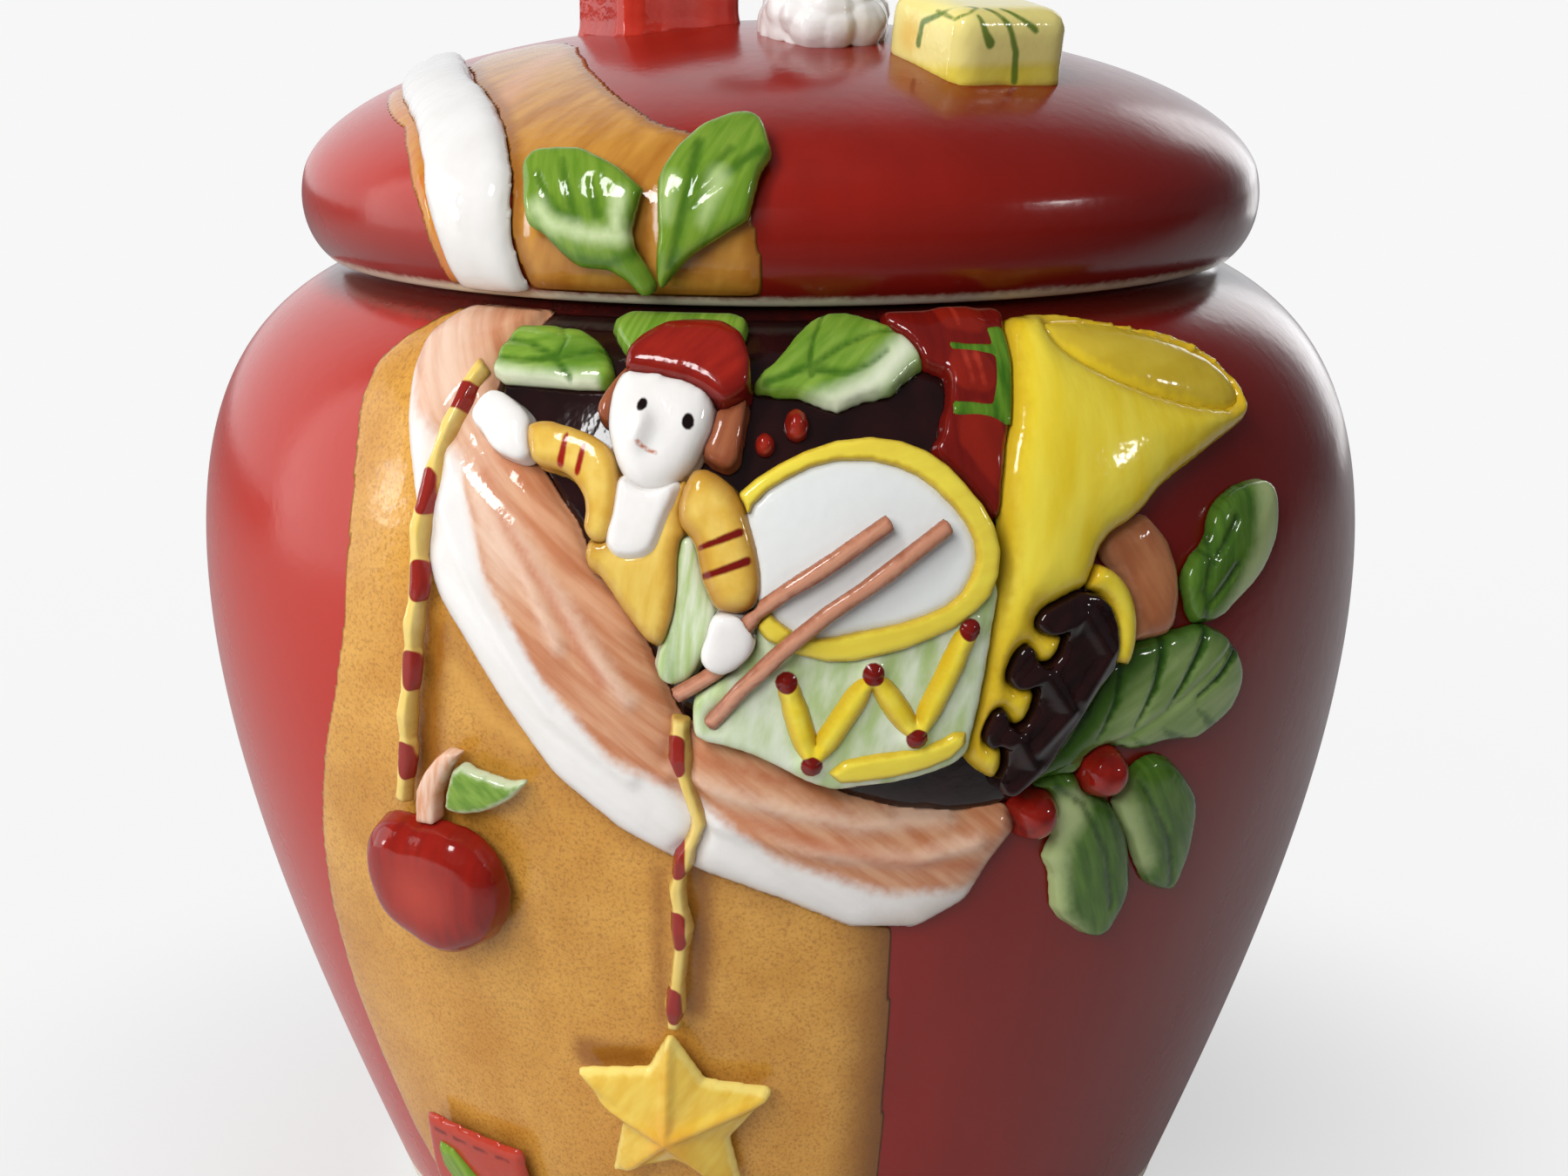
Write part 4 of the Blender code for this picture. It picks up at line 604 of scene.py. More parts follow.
def beyond(sheet, line):
    """Millimetres below a drawn line that runs from left to right; negative above it."""
    across, up = np.array(line, float).T
    return np.interp(sheet[:, 0], across, up) - sheet[:, 1]


print("one point, measured from a line:", near(np.array([[3.0, 4.0]]), [(0, 0), (0, 1)])[0])

# %% [markdown]
# ## The lines of the figures
#
# These folds, veins, knots, beads and ridges were read off the photograph. Most are used twice,
# for the relief and for the paint, so that the two always meet.

# %% Draw the lines
CUFF_TINT = [(-80, 168), (-69, 159), (-62, 151), (-50, 145), (-44, 129), (-35, 115), (-25, 104),
             (-11, 97), (0, 88.5), (16, 82.5), (31, 82), (40, 84)]
CUFF_FOLDS = [[(-54, 146), (-44.5, 138), (-38, 131.5), (-32.5, 120.5)],
              [(-50, 143), (-38.5, 134.5), (-31, 125.5), (-22, 113)],
              [(-52, 138), (-44, 124), (-34, 110), (-22, 101)],
              [(-16, 102), (-4, 98), (12, 94), (26, 94)], [(-12, 95), (4, 90), (20, 88), (30, 90)]]
LEFT_VEINS = [[(-52, 160), (-44.5, 159.5), (-38.5, 158)],
              [(-52, 158), (-44.5, 157.5), (-38.5, 158)],
              [(-40.5, 162), (-38, 160), (-38.5, 158), (-35, 156)], [(-38.5, 158), (-29.5, 159.5)]]
RIGHT_VEINS = [[(-2.5, 156), (5.5, 158), (10.5, 160), (16, 161.5), (21, 162)],
               [(5.5, 157.5), (10.5, 157), (15, 158), (18.5, 159.5)],
               [(5, 157), (5, 159), (6, 161.5), (10, 166.5)]]
LARGE_RIB = [(38, 97.5), (46.5, 100.5), (55.5, 103.5), (65.5, 108.5), (76.5, 115)]
LARGE_VEINS = [[(49, 112), (47, 107.5), (43.5, 103)], [(53, 115), (52, 109.5), (49.5, 104)],
               [(61, 118), (59, 111), (56, 105)], [(70, 118), (66, 112.5), (62, 107)],
               [(78, 115), (72.5, 110.5), (68, 108)]]
LOW_SPOTS = [[(73, 102), (68, 106)], [(66, 101), (61, 104)], [(60.5, 99.5), (56, 103)],
             [(57, 100), (51, 103)]]
UPPER_VEINS = [[(73, 142), (71.5, 131.5), (69, 124), (70, 118.5)], [(77, 134), (72, 129)],
               [(68, 133), (71, 128)], [(76, 127), (70, 122)]]
LOW_LEFT_RIB = [(43, 97), (48, 93.5), (53.5, 84.5), (56.5, 75)]
LOW_RIGHT_RIB = [(58.5, 95.5), (66, 85), (69.5, 76)]
LID_LEFT_VEINS = [[(-37, 19.5), (-33.5, 15.5), (-29.5, 14)],
                  [(-33.5, 21.5), (-31, 17), (-29.5, 14)], [(-28, 19), (-26.5, 15)]]
LID_RIGHT_VEINS = [[(-12.5, 25), (-13, 19), (-14, 14.5), (-15.5, 9)],
                   [(-3, 24), (-6.5, 21), (-13, 16)], [(-7.5, 24), (-12, 18)]]
KNOTS = [[(0.8, 117.2)], [(4.3, 104.9)], [(12.7, 118.1)], [(18.9, 108.5)], [(26.2, 123.5)]]
LEFT_BEADS = [(-55.5, 140), (-55.5, 127.5), (-57, 114), (-59.5, 99.5), (-63, 83.5)]
RIGHT_BEADS = [(-15, 105), (-15.5, 88.5), (-16, 76.5), (-17.5, 63)]
STAR_MIDDLE = (-20.4, 39.6)
STAR_RIDGES = [[STAR_MIDDLE, tip] for tip in ((-35, 44), (-19, 60), (-3, 46), (-33, 27), (-4, 20))]
FRILL_CURLS = [[(38, 120), (44, 124), (48, 118), (44, 112)],
               [(33, 113), (38, 116), (42, 110), (37, 105)],
               [(29, 104), (34, 107), (37, 102), (33, 98)]]
GIFT_BRICKS = [[(31, 163.6), (35, 163.2)], [(30.5, 156.6), (33, 156.4)], [(31, 149), (33, 144)]]
NOSE = [(-20.8, 148.0), (-20.2, 149.4)]
print("veins and folds:", len(CUFF_FOLDS + LEFT_VEINS + RIGHT_VEINS + LARGE_VEINS + UPPER_VEINS))

# %% [markdown]
# ## Pressing relief into the clay
#
# A vein is pressed in and a fold is a roll on top, so the top of the clay is sunk or raised along
# the lines. The cords swell at each bead, and the drum's lace bars in the middle. Each is a small
# function that changes the flat points before they are rolled up.

# %% Shape the sprigs
CORD_HALF, BEAD_SWELL, BEAD_HALF, LEAN_FROM, LEAN_OVER = 1.5, 0.4, 3.4, 142.0, 9.0


def raised(height, width, lines):
    """A shape change that raises or sinks the top of a sprig along drawn lines."""
    def change(flat, normals):
        lift = height*np.exp(-(near(flat, *lines)/width)**2)
        flat[:, 2] += lift*np.clip(1.6*normals[:, 2], 0.0, 1.0)
        return flat
    return change


def beaded(beads, lean=0.0):
    """A shape change that makes an even cord with swollen beads and an upper end that leans."""
    def change(flat, normals):
        marks = np.arange(flat[:, 1].min(), flat[:, 1].max(), 1.0)
        sides = [flat[np.abs(flat[:, 1] - mark) < 1.2, 0] for mark in marks]
        middle = np.array([(side.min() + side.max())/2 for side in sides])
        half = np.array([(side.max() - side.min())/2 for side in sides])
        middle = np.convolve(np.pad(middle, 8, mode="edge"), np.ones(17)/17, mode="valid")
        top = np.clip((flat[:, 1] - LEAN_FROM)/LEAN_OVER, 0.0, 1.0)
        centre = np.interp(flat[:, 1], marks, middle) + lean*top
        flat[:, 1] += 0.8*lean*top
        off = (flat[:, 0] - centre)/np.interp(flat[:, 1], marks, half)
        gap = np.abs(flat[:, 1][:, None] - np.array(beads)[:, 1]).min(axis=1)
        swell = np.sqrt(np.clip(1.0 - (gap/BEAD_HALF)**2, 0.0, 1.0))
        flat[:, 0] = centre + off*(CORD_HALF + BEAD_SWELL*swell)
        return flat
    return change


def widened(share):
    """A shape change that scales a sprig on the sheet about its middle."""
    def change(flat, normals):
        middle = (flat[:, :2].min(axis=0) + flat[:, :2].max(axis=0))/2
        flat[:, :2] = middle + (flat[:, :2] - middle)*share
        return flat
    return change


def spindles(flat, normals):
    """The lace bars are thick in the middle and thin at the knots."""
    swell = np.clip((near(flat, *KNOTS) - 1.2)/3.5, 0.0, 1.0)[:, None]
    return flat + swell*(0.45, 0.45, 0.25)*normals


SHAPES = {
    "sack_cuff": raised(0.7, 1.3, CUFF_FOLDS), "sack_leaf_left": raised(-0.35, 0.5, LEFT_VEINS),
    "sack_leaf_right": raised(-0.35, 0.5, RIGHT_VEINS),
    "holly_leaf_upper": raised(-0.4, 0.6, UPPER_VEINS),
    "holly_leaf_large": raised(-0.45, 0.6, [LARGE_RIB] + LARGE_VEINS),
    "holly_leaf_low_left": raised(-0.35, 0.6, [LOW_LEFT_RIB]),
    "holly_leaf_low_right": raised(-0.35, 0.6, [LOW_RIGHT_RIB]),
    "lid_leaf_left": raised(-0.3, 0.5, LID_LEFT_VEINS),
    "lid_leaf_right": raised(-0.3, 0.5, LID_RIGHT_VEINS),
    "drum_shell": raised(2.2, 1.5, KNOTS),
    "doll_face": raised(1.9, 1.5, [NOSE]),
    "star": raised(0.9, 1.0, STAR_RIDGES), "toy_parcel": raised(0.6, 2.2, GIFT_BRICKS),
    "horn_frill": raised(0.9, 1.2, FRILL_CURLS), "horn_mouth": widened((1.05, 1.16)),
    "drum_lacing": spindles, "garland_left": beaded(LEFT_BEADS, 4.4),
    "garland_right": beaded(RIGHT_BEADS),
}
print("shaped sprigs:", len(SHAPES))

# %% [markdown]
# ## Making the sprigs
#
# All sprigs go through the same steps with a few settings: thin ones are smoothed less, fruit and
# hands more, fine ones get a finer skin, and the sack is let down until it is a thin sheet.

# %% Make the sprigs
FINE = ("toy_parcel_ribbon drum_hoop_upper drum_hoop_lower drum_lacing drumstick_front "
        "drumstick_back sack_berry_left sack_berry_right garland_left garland_right "
        "patch_leaf").split()
THIN = FINE + ["apple_stem", "apple_leaf"]
ROUND = ("apple holly_berry_left holly_berry_right doll_face doll_cap doll_hand_left "
         "doll_hand_right sack_cuff horn horn_mouth").split()
SINK = {"apple": 0.7, "sack_panel": 0.14, "lid_sack_panel": 0.2, "lid_sack_strip": 0.3,
        "patch": 0.5, "drum_shell": 0.8}
FLARE = {"sack_cuff": 2.0, "doll_torso": 2.4, "doll_trousers": 1.8, "doll_bib": 1.6,
         "doll_face": 1.4}
GRAIN = {"sack_panel": 1.0, "sack_cuff": 0.7, "sack_lining": 0.8, "drum_shell": 0.7, "horn": 0.7,
         "lid_sack_panel": 0.8, "lid_sack_strip": 0.6, "lid_band": 0.8}
GRAIN.update((name, 0.35) for name in FINE + ["drum_skin", "horn_frill", "doll_bib"])
for name in [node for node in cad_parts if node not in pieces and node[:5] != "knob_"]:
    rounds, puff, flare = 20 if name in ROUND else 12, 0.2, FLARE.get(name, 1.1)
    if name in THIN:
        rounds, puff, flare = 3, 0.0, 0.3
    pieces[name] = soft_sprig(name, LID if name[:4] == "lid_" else JAR, GRAIN.get(name, 0.5),
                              rounds, puff, flare, SINK.get(name, 1.0), SHAPES.get(name))
    print(name, "faces:", len(pieces[name].data.polygons))

# %% [markdown]
# ## The handle
#
# The handle is a heap of small parcels and a cap with a fur brim. They were put on as soft clay, so
# their feet run into the lid. The fur is a row of lumps: the cells of a Voronoi texture push the
# skin in and out.

# %% Soften the handle
LUMP_SIZE, LUMP_LEVEL, KNOB_DROP, FILLET = 0.0065, 0.35, 1.4, 3.0


def soft_knob(node, rounds=8, foot=1.8, lumps=0.0):
    """A copy of a handle piece with round edges and a foot that runs into the lid."""
    piece = clay_copy(node, 0.5, rounds)
    if lumps:
        cells = bpy.data.textures.new(node + "_lumps", "VORONOI")
        cells.noise_scale = LUMP_SIZE
        modified(piece, "DISPLACE", texture=cells, texture_coords="LOCAL", strength=-lumps*MM,
                 mid_level=LUMP_LEVEL)
    places, normals = corners_of(piece)/MM, corner_normals(piece)
    order = np.argsort(LID.smooth[:, 0])
    dome = np.interp(np.hypot(places[:, 0], places[:, 1]), *LID.smooth[order].T)
    low = np.clip(1.0 - (places[:, 2] - dome)/FILLET, 0.0, 1.0)
    side = np.clip(1.0 - np.abs(normals[:, 2]), 0.0, 1.0)
    places[:, :2] += (foot*low**3*side)[:, None]*normals[:, :2]
    places[:, 2] -= KNOB_DROP*low
    store(piece, "sheet", places)
    put_corners(piece, places*MM)
    hand_in(piece, node)
    return piece


for node, settings in (("knob_parcel_red", {"foot": 1.4}),
                       ("knob_parcel_yellow", {"rounds": 45, "foot": 1.2}),
                       ("knob_cap_brim", {"lumps": 2.2, "foot": 0.4}),
                       ("knob_cap", {"rounds": 36}), ("knob_pompom", {"lumps": 1.6, "foot": 0.0})):
    pieces[node] = soft_knob(node, **settings)
    print(node, "faces:", len(pieces[node].data.polygons))

# %% [markdown]
# ## The colours
#
# A painter mixes few colours and thins them, so each has a lighter or darker sister. They were
# picked in the usual steps of 0 to 255 and are turned into the light that they send back.

# %% Mix the colours


def tone(*levels):
    """A colour picked in steps of 0 to 255, as the light it sends back."""
    return tuple(((level/255 + 0.055)/1.055)**2.4 for level in levels)


RED, DARK_RED, BRIGHT_RED = tone(146, 28, 17), tone(112, 20, 13), tone(180, 58, 40)
OCHRE, DEEP_OCHRE, BROWN = tone(214, 160, 74), tone(194, 136, 52), tone(138, 80, 22)
WHITE, GREY_WHITE, CREAM = tone(232, 230, 227), tone(226, 222, 218), tone(232, 222, 196)
SALMON, DARK_SALMON, PALE_SALMON = tone(212, 150, 112), tone(184, 106, 70), tone(230, 200, 178)
CHOCOLATE, BLACK = tone(38, 14, 14), tone(20, 9, 9)
LEAF, LIGHT_LEAF, DARK_LEAF = tone(94, 134, 36), tone(128, 160, 60), tone(48, 92, 16)
PALE_LEAF, FRESH_LEAF, PALE_FRESH_LEAF = tone(218, 224, 196), tone(92, 130, 32), tone(118, 148, 50)
HOLLY, LIGHT_HOLLY, DARK_HOLLY = tone(58, 94, 24), tone(88, 122, 42), tone(24, 54, 12)
PALE_HOLLY = tone(170, 186, 126)
LEMON, OLD_LEMON, PALE_LEMON = tone(224, 196, 42), tone(190, 148, 20), tone(230, 212, 74)
COAT, COAT_SHADE, COAT_LIGHT = tone(214, 170, 68), tone(168, 114, 34), tone(226, 194, 98)
MINT, PALE_MINT, DARK_MINT = tone(170, 192, 126), tone(218, 226, 204), tone(124, 156, 78)
STICK, DARK_STICK = tone(192, 132, 104), tone(138, 74, 48)
print("red sends back", [round(part, 3) for part in RED])

# %% [markdown]
# ## How the glaze is laid on
#
# Thin colour goes on in long brush strokes, then darker veins, edges and shadows are drawn over it,
# each with an edge that wanders a little. Here the ground is a stretched noise, each coat is a
# distance from a drawn line, stored on the mesh, and a fine noise makes the glaze wavy.

# %% Take up the brush
WAVE_HEIGHT = 0.0004


def sheet_of(name):
    """The places of a piece on its sheet."""
    places = np.empty(len(pieces[name].data.vertices)*3)
    pieces[name].data.attributes["sheet"].data.foreach_get("vector", places)
    return places.reshape(-1, 3)


def edge(width):
    """A coat inside the outline of whichever piece is painted."""
    def distance(name):
        values = np.empty(len(pieces[name].data.vertices))
        pieces[name].data.attributes["rim"].data.foreach_get("value", values)
        return values - width
    return distance


def drawn(*strokes):
    """A coat inside strokes of (start width, end width, line)."""
    return lambda name: brushed(sheet_of(name), *strokes)


def within(width, *lines):
    """A coat up to some millimetres from drawn lines."""
    return lambda name: near(sheet_of(name), *lines) - width


def paint(name, first, second, coats=(), lay=(0.0, 3.0, 3.0), reach=50.0, rough=0.1, wander=0.5,
          dots=None, waves=0.25):
    """Glazes a piece with two ground colours and coats of (distance, soft, colour, share).

    A coat covers where its distance is negative. Two colours in a coat are laid in strokes. The lay
    of the strokes is their turn in degrees, their length and their width.
    """
    piece = pieces[name]
    material, shader, dab = new_glaze(name + "_glaze")
    sheet = dab.attribute("sheet", "Vector")
    strokes = dab.node("ShaderNodeMapping", {"vector_type": "TEXTURE"},
                       {"Vector": sheet, "Rotation": (0.0, 0.0, math.radians(lay[0])),
                        "Scale": (lay[1], lay[2], reach)})
    colour = strokes.noise(1.0, 3.0, 0.5).ramp(0.25, 0.75).blend(first, second)
    if dots:
        size, tint, share = dots
        colour = (sheet.noise(size, 3.0, 0.6).ramp(0.42, 0.75) * share).blend(colour, tint)
    unrest = (sheet.noise(0.7, 2.0) - 0.5) * (2.0*wander)
    grain = strokes.noise(1.6, 3.0, 0.55).ramp(0.3, 0.7)
    for slot, (values, soft, tint, *share) in enumerate(coats):
        tint = grain.blend(*tint) if len(tint) == 2 else tint
        store(piece, f"coat_{slot}", values(name) if callable(values) else values)
        cover = (dab.attribute(f"coat_{slot}") + unrest * min(1.0, 2.0*soft)).ramp(soft, -soft)
        colour = (cover * share[0] if share else cover).blend(colour, tint)
    colour.feed(shader.name, "Base Color")
    (sheet.noise(0.35, 3.0) * 0.08 + (rough - 0.04)).feed(shader.name, "Roughness")
    dab.node("ShaderNodeBump", None, {"Height": sheet.noise(0.45, 2.0), "Strength": waves,
                                      "Distance": WAVE_HEIGHT}).feed(shader.name, "Normal")
    piece.data.materials.append(material)
    print(name, "coats:", len(coats), "nodes:", len(material.node_tree.nodes))


print("brush ready, pieces to paint:", len(pieces))

# %% [markdown]
# ## The red wall and the lid
#
# The red is laid on with a wide brush in upright strokes, painted brighter to the left as painted
# light and darker to the right as painted shade. It stops a little above the foot and under the
# lid's edge, where the bare cream body shows. Painted shade darkens the red just under the lid
# and on the lid's lower side. Over the sack's mouth that band is chocolate: the lining's colour,
# carried up as painted shade.

# %% Paint the jar and the lid
wall_at, dome_at = [corners_of(pieces[name])/MM for name in ("jar_body", "lid_shell")]
angle = np.arctan2(wall_at[:, 0], -wall_at[:, 1])
for name, places, shade_and_lining, bare in (
        ("jar_body", wall_at,
         # Painted shade just under the lid; over the sack's mouth, the lining's chocolate as
         # painted shade.
         [(164.0 - wall_at[:, 2], 1.5, tone(84, 16, 10)),
          (np.maximum(163.4 - wall_at[:, 2], abs(angle + 0.17) - 0.37), 0.4, CHOCOLATE)], 5.5),
        # Painted shade: darker red on the lid's lower side.
        ("lid_shell", dome_at, [(dome_at[:, 2] - 178.0, 9.0, tone(104, 16, 10), 0.7)], 169.4)):
    store(pieces[name], "sheet", places)
    paint(name, RED, tone(134, 25, 15),
          # Painted light: brighter red to the left. Painted shade: darker red to the right.
          [(places[:, 0] + 42.0, 36.0, tone(176, 40, 25)),
           (30.0 - places[:, 0], 50.0, tone(116, 20, 13)),
           *shade_and_lining, (places[:, 2] - bare, 0.7, CREAM)],
          lay=(0, 9, 9), reach=60.0, wander=0.4, rough=0.2, waves=0.1)

# %% [markdown]
# ## The handle's paint
#
# The yellow parcel is tied with thin green strands, which the painter only drew. They run over its
# edges, so their lines are drawn in space.

# %% Paint the handle
paint("knob_parcel_red", tone(188, 52, 36), tone(168, 38, 26), lay=(0, 6, 6))
strands = [
    (0.7, 1.4, [(31.2, -48.1, 211.7), (25.4, -47.1, 210.6), (22.6, -44, 209.2),
                (22.1, -43.2, 205.7)]),
    (0.6, 1.8, [(31.2, -50.2, 210.6), (32.5, -50.5, 207.7), (33.2, -49.7, 206.1)]),
    (0.9, 1.4, [(32.5, -47.6, 211.6), (36.2, -47.8, 209), (37.5, -46.6, 204.5),
                (37.3, -45.9, 200)]),
    (0.8, 1.2, [(35.2, -46.1, 211.4), (38.3, -46.2, 210), (40.9, -45, 207.9)]),
    (0.6, 0.6, [(24.8, -45.9, 211.1), (27.4, -50.2, 209.9), (29.7, -50.4, 210.9),
                (31.2, -48.1, 211.7)])]
box = sheet_of("knob_parcel_yellow")
paint("knob_parcel_yellow", tone(228, 212, 100), tone(216, 196, 70),
      # Painted light: paler towards the top. Painted shade: deeper orange low beside the fur.
      [(202.6 - box[:, 2], 1.0, tone(234, 222, 150), 0.7),
       (within(2.5, [(21, -41, 207)]), 2.0, tone(226, 170, 50), 0.5),
       (drawn(*strands), 0.3, tone(78, 112, 26), 0.9)], lay=(20, 8, 6), wander=0.2)
paint("knob_cap_brim", WHITE, GREY_WHITE)
paint("knob_cap", RED, DARK_RED)
paint("knob_pompom", WHITE, GREY_WHITE)

# %% [markdown]
# ## The sack
#
# The sack is dabbed on with a sponge, ochre over cream, so that it looks like rough cloth. Brown is
# worked in beside everything that lies on it, as a painted shadow, and down its right side, as
# painted shade.

# %% Paint the sack
shadows = [(2, 6, [(-54, 120), (-56, 110), (-58.5, 97)]),
           (3, 4, [(-12, 92), (-13, 73), (-14.5, 60)]), (1.5, 2, [(-19.5, 84), (-21, 58)]),
           (6, 3, [(-36, 49.5), (-26, 50.5)])]
paint("sack_panel", OCHRE, DEEP_OCHRE,
      [(within(3.0, [(-54.5, 123), (-42.5, 105.5), (-34.5, 99.5), (-20, 90), (0, 80)]), 3.5,
        BROWN, 0.35),
       (drawn(*shadows), 1.8, BROWN, 0.75),
       # Painted shade: darker brown down the sack's right side.
       (within(6.0, [(19, 78), (20, 53.5), (19, 0)]), 6.5, tone(112, 64, 22), 0.9),
       (within(1.0, [(-52, 114), (-45.5, 106.5), (-40, 103)]), 2.0, OCHRE, 0.8)],
      lay=(0, 14, 14), rough=0.2, dots=(1.9, BROWN, 0.55))
paint("sack_lining", CHOCOLATE, BLACK, lay=(0, 9, 9))

# %% [markdown]
# ## The sack's turned-back edge
#
# The edge is white below a drawn line and salmon above it, in long strokes that follow the cloth.
# Pale salmon on the folds is a painted highlight where they catch the light, and darker strokes
# lie between them. Towards its lower right end the white is painted greyer, as painted shade.

# %% Paint the turned-back edge
cuff = sheet_of("sack_cuff")
tint = beyond(cuff, CUFF_TINT)
strokes = [[(-50, 140), (-42, 124), (-32, 110), (-20, 100)], [(-46, 143), (-34, 128), (-26, 115)],
           [(-16, 99), (0, 93), (16, 88), (30, 86)], [(-14, 105), (0, 101), (16, 98)]]
paint("sack_cuff", WHITE, GREY_WHITE,
      [(tint, 1.6, (tone(210, 158, 122), tone(186, 118, 80))),
       (np.maximum(tint, near(cuff, [(-66, 162), (-53, 147), (-45, 131)]) - 6.0), 5.0,
        (tone(226, 196, 174), tone(212, 168, 140)), 0.9),
       # Painted shade: greyer white towards the cuff's lower right end.
       (near(cuff, [(16, 76), (30, 80), (38, 90)]) - 2.0, 4.0, tone(196, 176, 160), 0.6),
       # Painted highlight: pale salmon along the folds.
       (np.maximum(tint + 3.0, near(cuff, *CUFF_FOLDS) - 1.0), 1.6, PALE_SALMON, 0.7),
       (np.maximum(tint + 1.5, near(cuff, *strokes) - 0.6), 1.4, DARK_SALMON, 0.8)],
      lay=(-38, 30, 3.2), wander=0.8)
paint("sack_cuff_end", tone(190, 126, 84), tone(166, 98, 62),
      # Painted highlight: lighter salmon along the edge.
      [(edge(0.5), 0.7, SALMON, 0.7)], lay=(-60, 12, 3))

# %% [markdown]
# ## The leaves in the sack
#
# Each leaf is washed with light green, left nearly white where the brush was dry, and its veins are
# drawn in dark green over that. The strokes run along the leaf.

# %% Paint the leaves in the sack
paint("sack_leaf_left", LEAF, LIGHT_LEAF,
      [(within(0.8, [(-54.5, 158.5), (-50.5, 156), (-40.5, 155.5), (-31, 155.5)]), 1.2, PALE_LEAF),
       (within(0.8, [(-38, 158.5), (-31, 159)]), 1.6, DARK_LEAF, 0.7),
       (drawn(*alike(0.2, 0.9, LEFT_VEINS)), 0.35, DARK_LEAF, 0.85)], lay=(5, 9, 1.4), wander=0.25)
off_rib = np.abs(sheet_of("sack_leaf_middle")[:, 0] + 17)
paint("sack_leaf_middle", LIGHT_LEAF, LEAF, [(off_rib - 1.0, 1.6, DARK_LEAF, 0.6)],
      lay=(70, 8, 1.2))
paint("sack_leaf_right", LEAF, LIGHT_LEAF,
      [(within(1.4, [(4, 152.5), (9, 153.5), (14.5, 155.5), (19.5, 158.5), (23.5, 161)]), 1.8,
        PALE_LEAF),
       (drawn(*alike(0.9, 0.3, RIGHT_VEINS)), 0.4, DARK_LEAF, 0.85)],
      lay=(30, 9, 1.4), wander=0.25)

# %% [markdown]
# ## The holly
#
# Holly is a deeper green with a pale border where the wash thins out. The large leaf is pale, with
# deep green worked in between its veins. A berry is a red bead with a brighter spot low down, where
# light gathers.

# %% Paint the holly and the berries
paint("holly_leaf_upper", HOLLY, LIGHT_HOLLY,
      [(within(3.0, [(86, 136), (83, 128), (78, 121), (74, 116)]), 2.0, PALE_HOLLY),
       (drawn(*alike(1.0, 0.5, UPPER_VEINS)), 0.6, DARK_HOLLY, 0.8)], lay=(80, 9, 1.6))
paint("holly_leaf_large", tone(144, 164, 104), tone(118, 146, 78),
      [(within(4.0, [(42, 100), (46, 106), (51.5, 114), (59.5, 120), (70, 121), (79, 118)]),
        3.0, HOLLY),
       (drawn(*alike(2.6, 0.3, LARGE_VEINS)), 0.5, HOLLY),
       (drawn(*alike(1.1, 0.1, LARGE_VEINS)), 0.4, DARK_HOLLY, 0.8),
       (drawn(*alike(2.0, 0.3, LOW_SPOTS)), 0.5, HOLLY, 0.8)], lay=(25, 9, 2))
paint("holly_leaf_low_left", HOLLY, LIGHT_HOLLY,
      [(within(3.0, [(46, 93), (43.5, 88), (43.5, 82.5), (45.5, 73), (50, 69)]), 2.0, PALE_HOLLY),
       (within(1.5, [(50, 96), (57, 87), (61, 79), (60, 72)]), 1.8, DARK_HOLLY, 0.6),
       (drawn((0.6, 1.2, LOW_LEFT_RIB)), 0.6, DARK_HOLLY, 0.7)], lay=(-65, 9, 1.5))
paint("holly_leaf_low_right", HOLLY, LIGHT_HOLLY,
      [(within(3.0, [(54, 94), (57, 88), (61, 81)]), 2.0, PALE_HOLLY, 0.8),
       (drawn((0.5, 1.2, LOW_RIGHT_RIB)), 0.5, DARK_HOLLY, 0.7)], lay=(-60, 9, 1.5))
for name in ("sack_berry_left", "sack_berry_right", "holly_berry_left", "holly_berry_right"):
    berry = sheet_of(name)
    across, up, _ = (berry.min(axis=0) + berry.max(axis=0))/2
    paint(name, DARK_RED, RED, [(within(1.0, [(across, up - 1.4)]), 1.0, BRIGHT_RED, 0.6)],
          rough=0.07)

# %% [markdown]
# ## The doll
#
# The doll's face is bare white glaze with two dots for eyes and a short stroke for a mouth. Its
# coat is a warm yellow, shaded brown along the edges, with red bands on the sleeves.

# %% Paint the doll
paint("doll_face", WHITE, GREY_WHITE,
      [(drawn((1.6, 1.6, [(-20.5, 151.5)]), (1.8, 1.8, [(-13.5, 150)])), 0.15, BLACK),
       (drawn((0.55, 0.3, [(-20.4, 147.2), (-19, 146.5), (-17.6, 146.2)])), 0.2,
        DARK_SALMON)], wander=0.1, lay=(0, 9, 9))
paint("doll_cap", tone(150, 34, 22), tone(128, 24, 16),
      [(edge(1.2), 1.0, DARK_RED, 0.6)], lay=(30, 8, 1.6))
for name in ("doll_hair_left", "doll_hair_right"):
    paint(name, tone(160, 96, 64), tone(138, 76, 48), [(edge(0.7), 0.6, DARK_STICK, 0.7)],
          lay=(70, 6, 1.0))
for name in ("doll_bib", "doll_hand_left", "doll_hand_right"):
    paint(name, WHITE, GREY_WHITE, lay=(90, 5, 4))
paint("doll_torso", COAT, COAT_LIGHT, [(edge(1.2), 1.2, COAT_SHADE, 0.7)], lay=(80, 8, 2))
for name, shade, bands, colour in (
        ("doll_sleeve_left", (1.0, 0.9, 0.6),
         [(0.8, 1.2, [(-32.3, 148.4), (-32.6, 145)]), (0.8, 1.0, [(-29.3, 147.2), (-29.8, 144)])],
         RED),
        ("doll_sleeve_right", (1.4, 1.3, 0.8),
         [(0.7, 1.1, [(-11, 135), (-5.5, 137)]), (0.8, 1.1, [(-10.5, 131.5), (-4.5, 133.5)])],
         DARK_RED)):
    width, soft, share = shade
    paint(name, COAT, COAT_LIGHT, [(edge(width), soft, COAT_SHADE, share),
                                   (drawn(*bands), 0.2, colour)], wander=0.2)
paint("doll_trousers", PALE_MINT, MINT,
      [(within(0.6, [(-15, 138), (-16, 126), (-15.5, 117)]), 1.4, DARK_MINT, 0.8)],
      lay=(85, 8, 1.2))

# %% [markdown]
# ## The parcel behind the doll
#
# The parcel is a dark red box. Brighter red and orange strokes catch the light between the ribbons,
# which are plain leaf green.

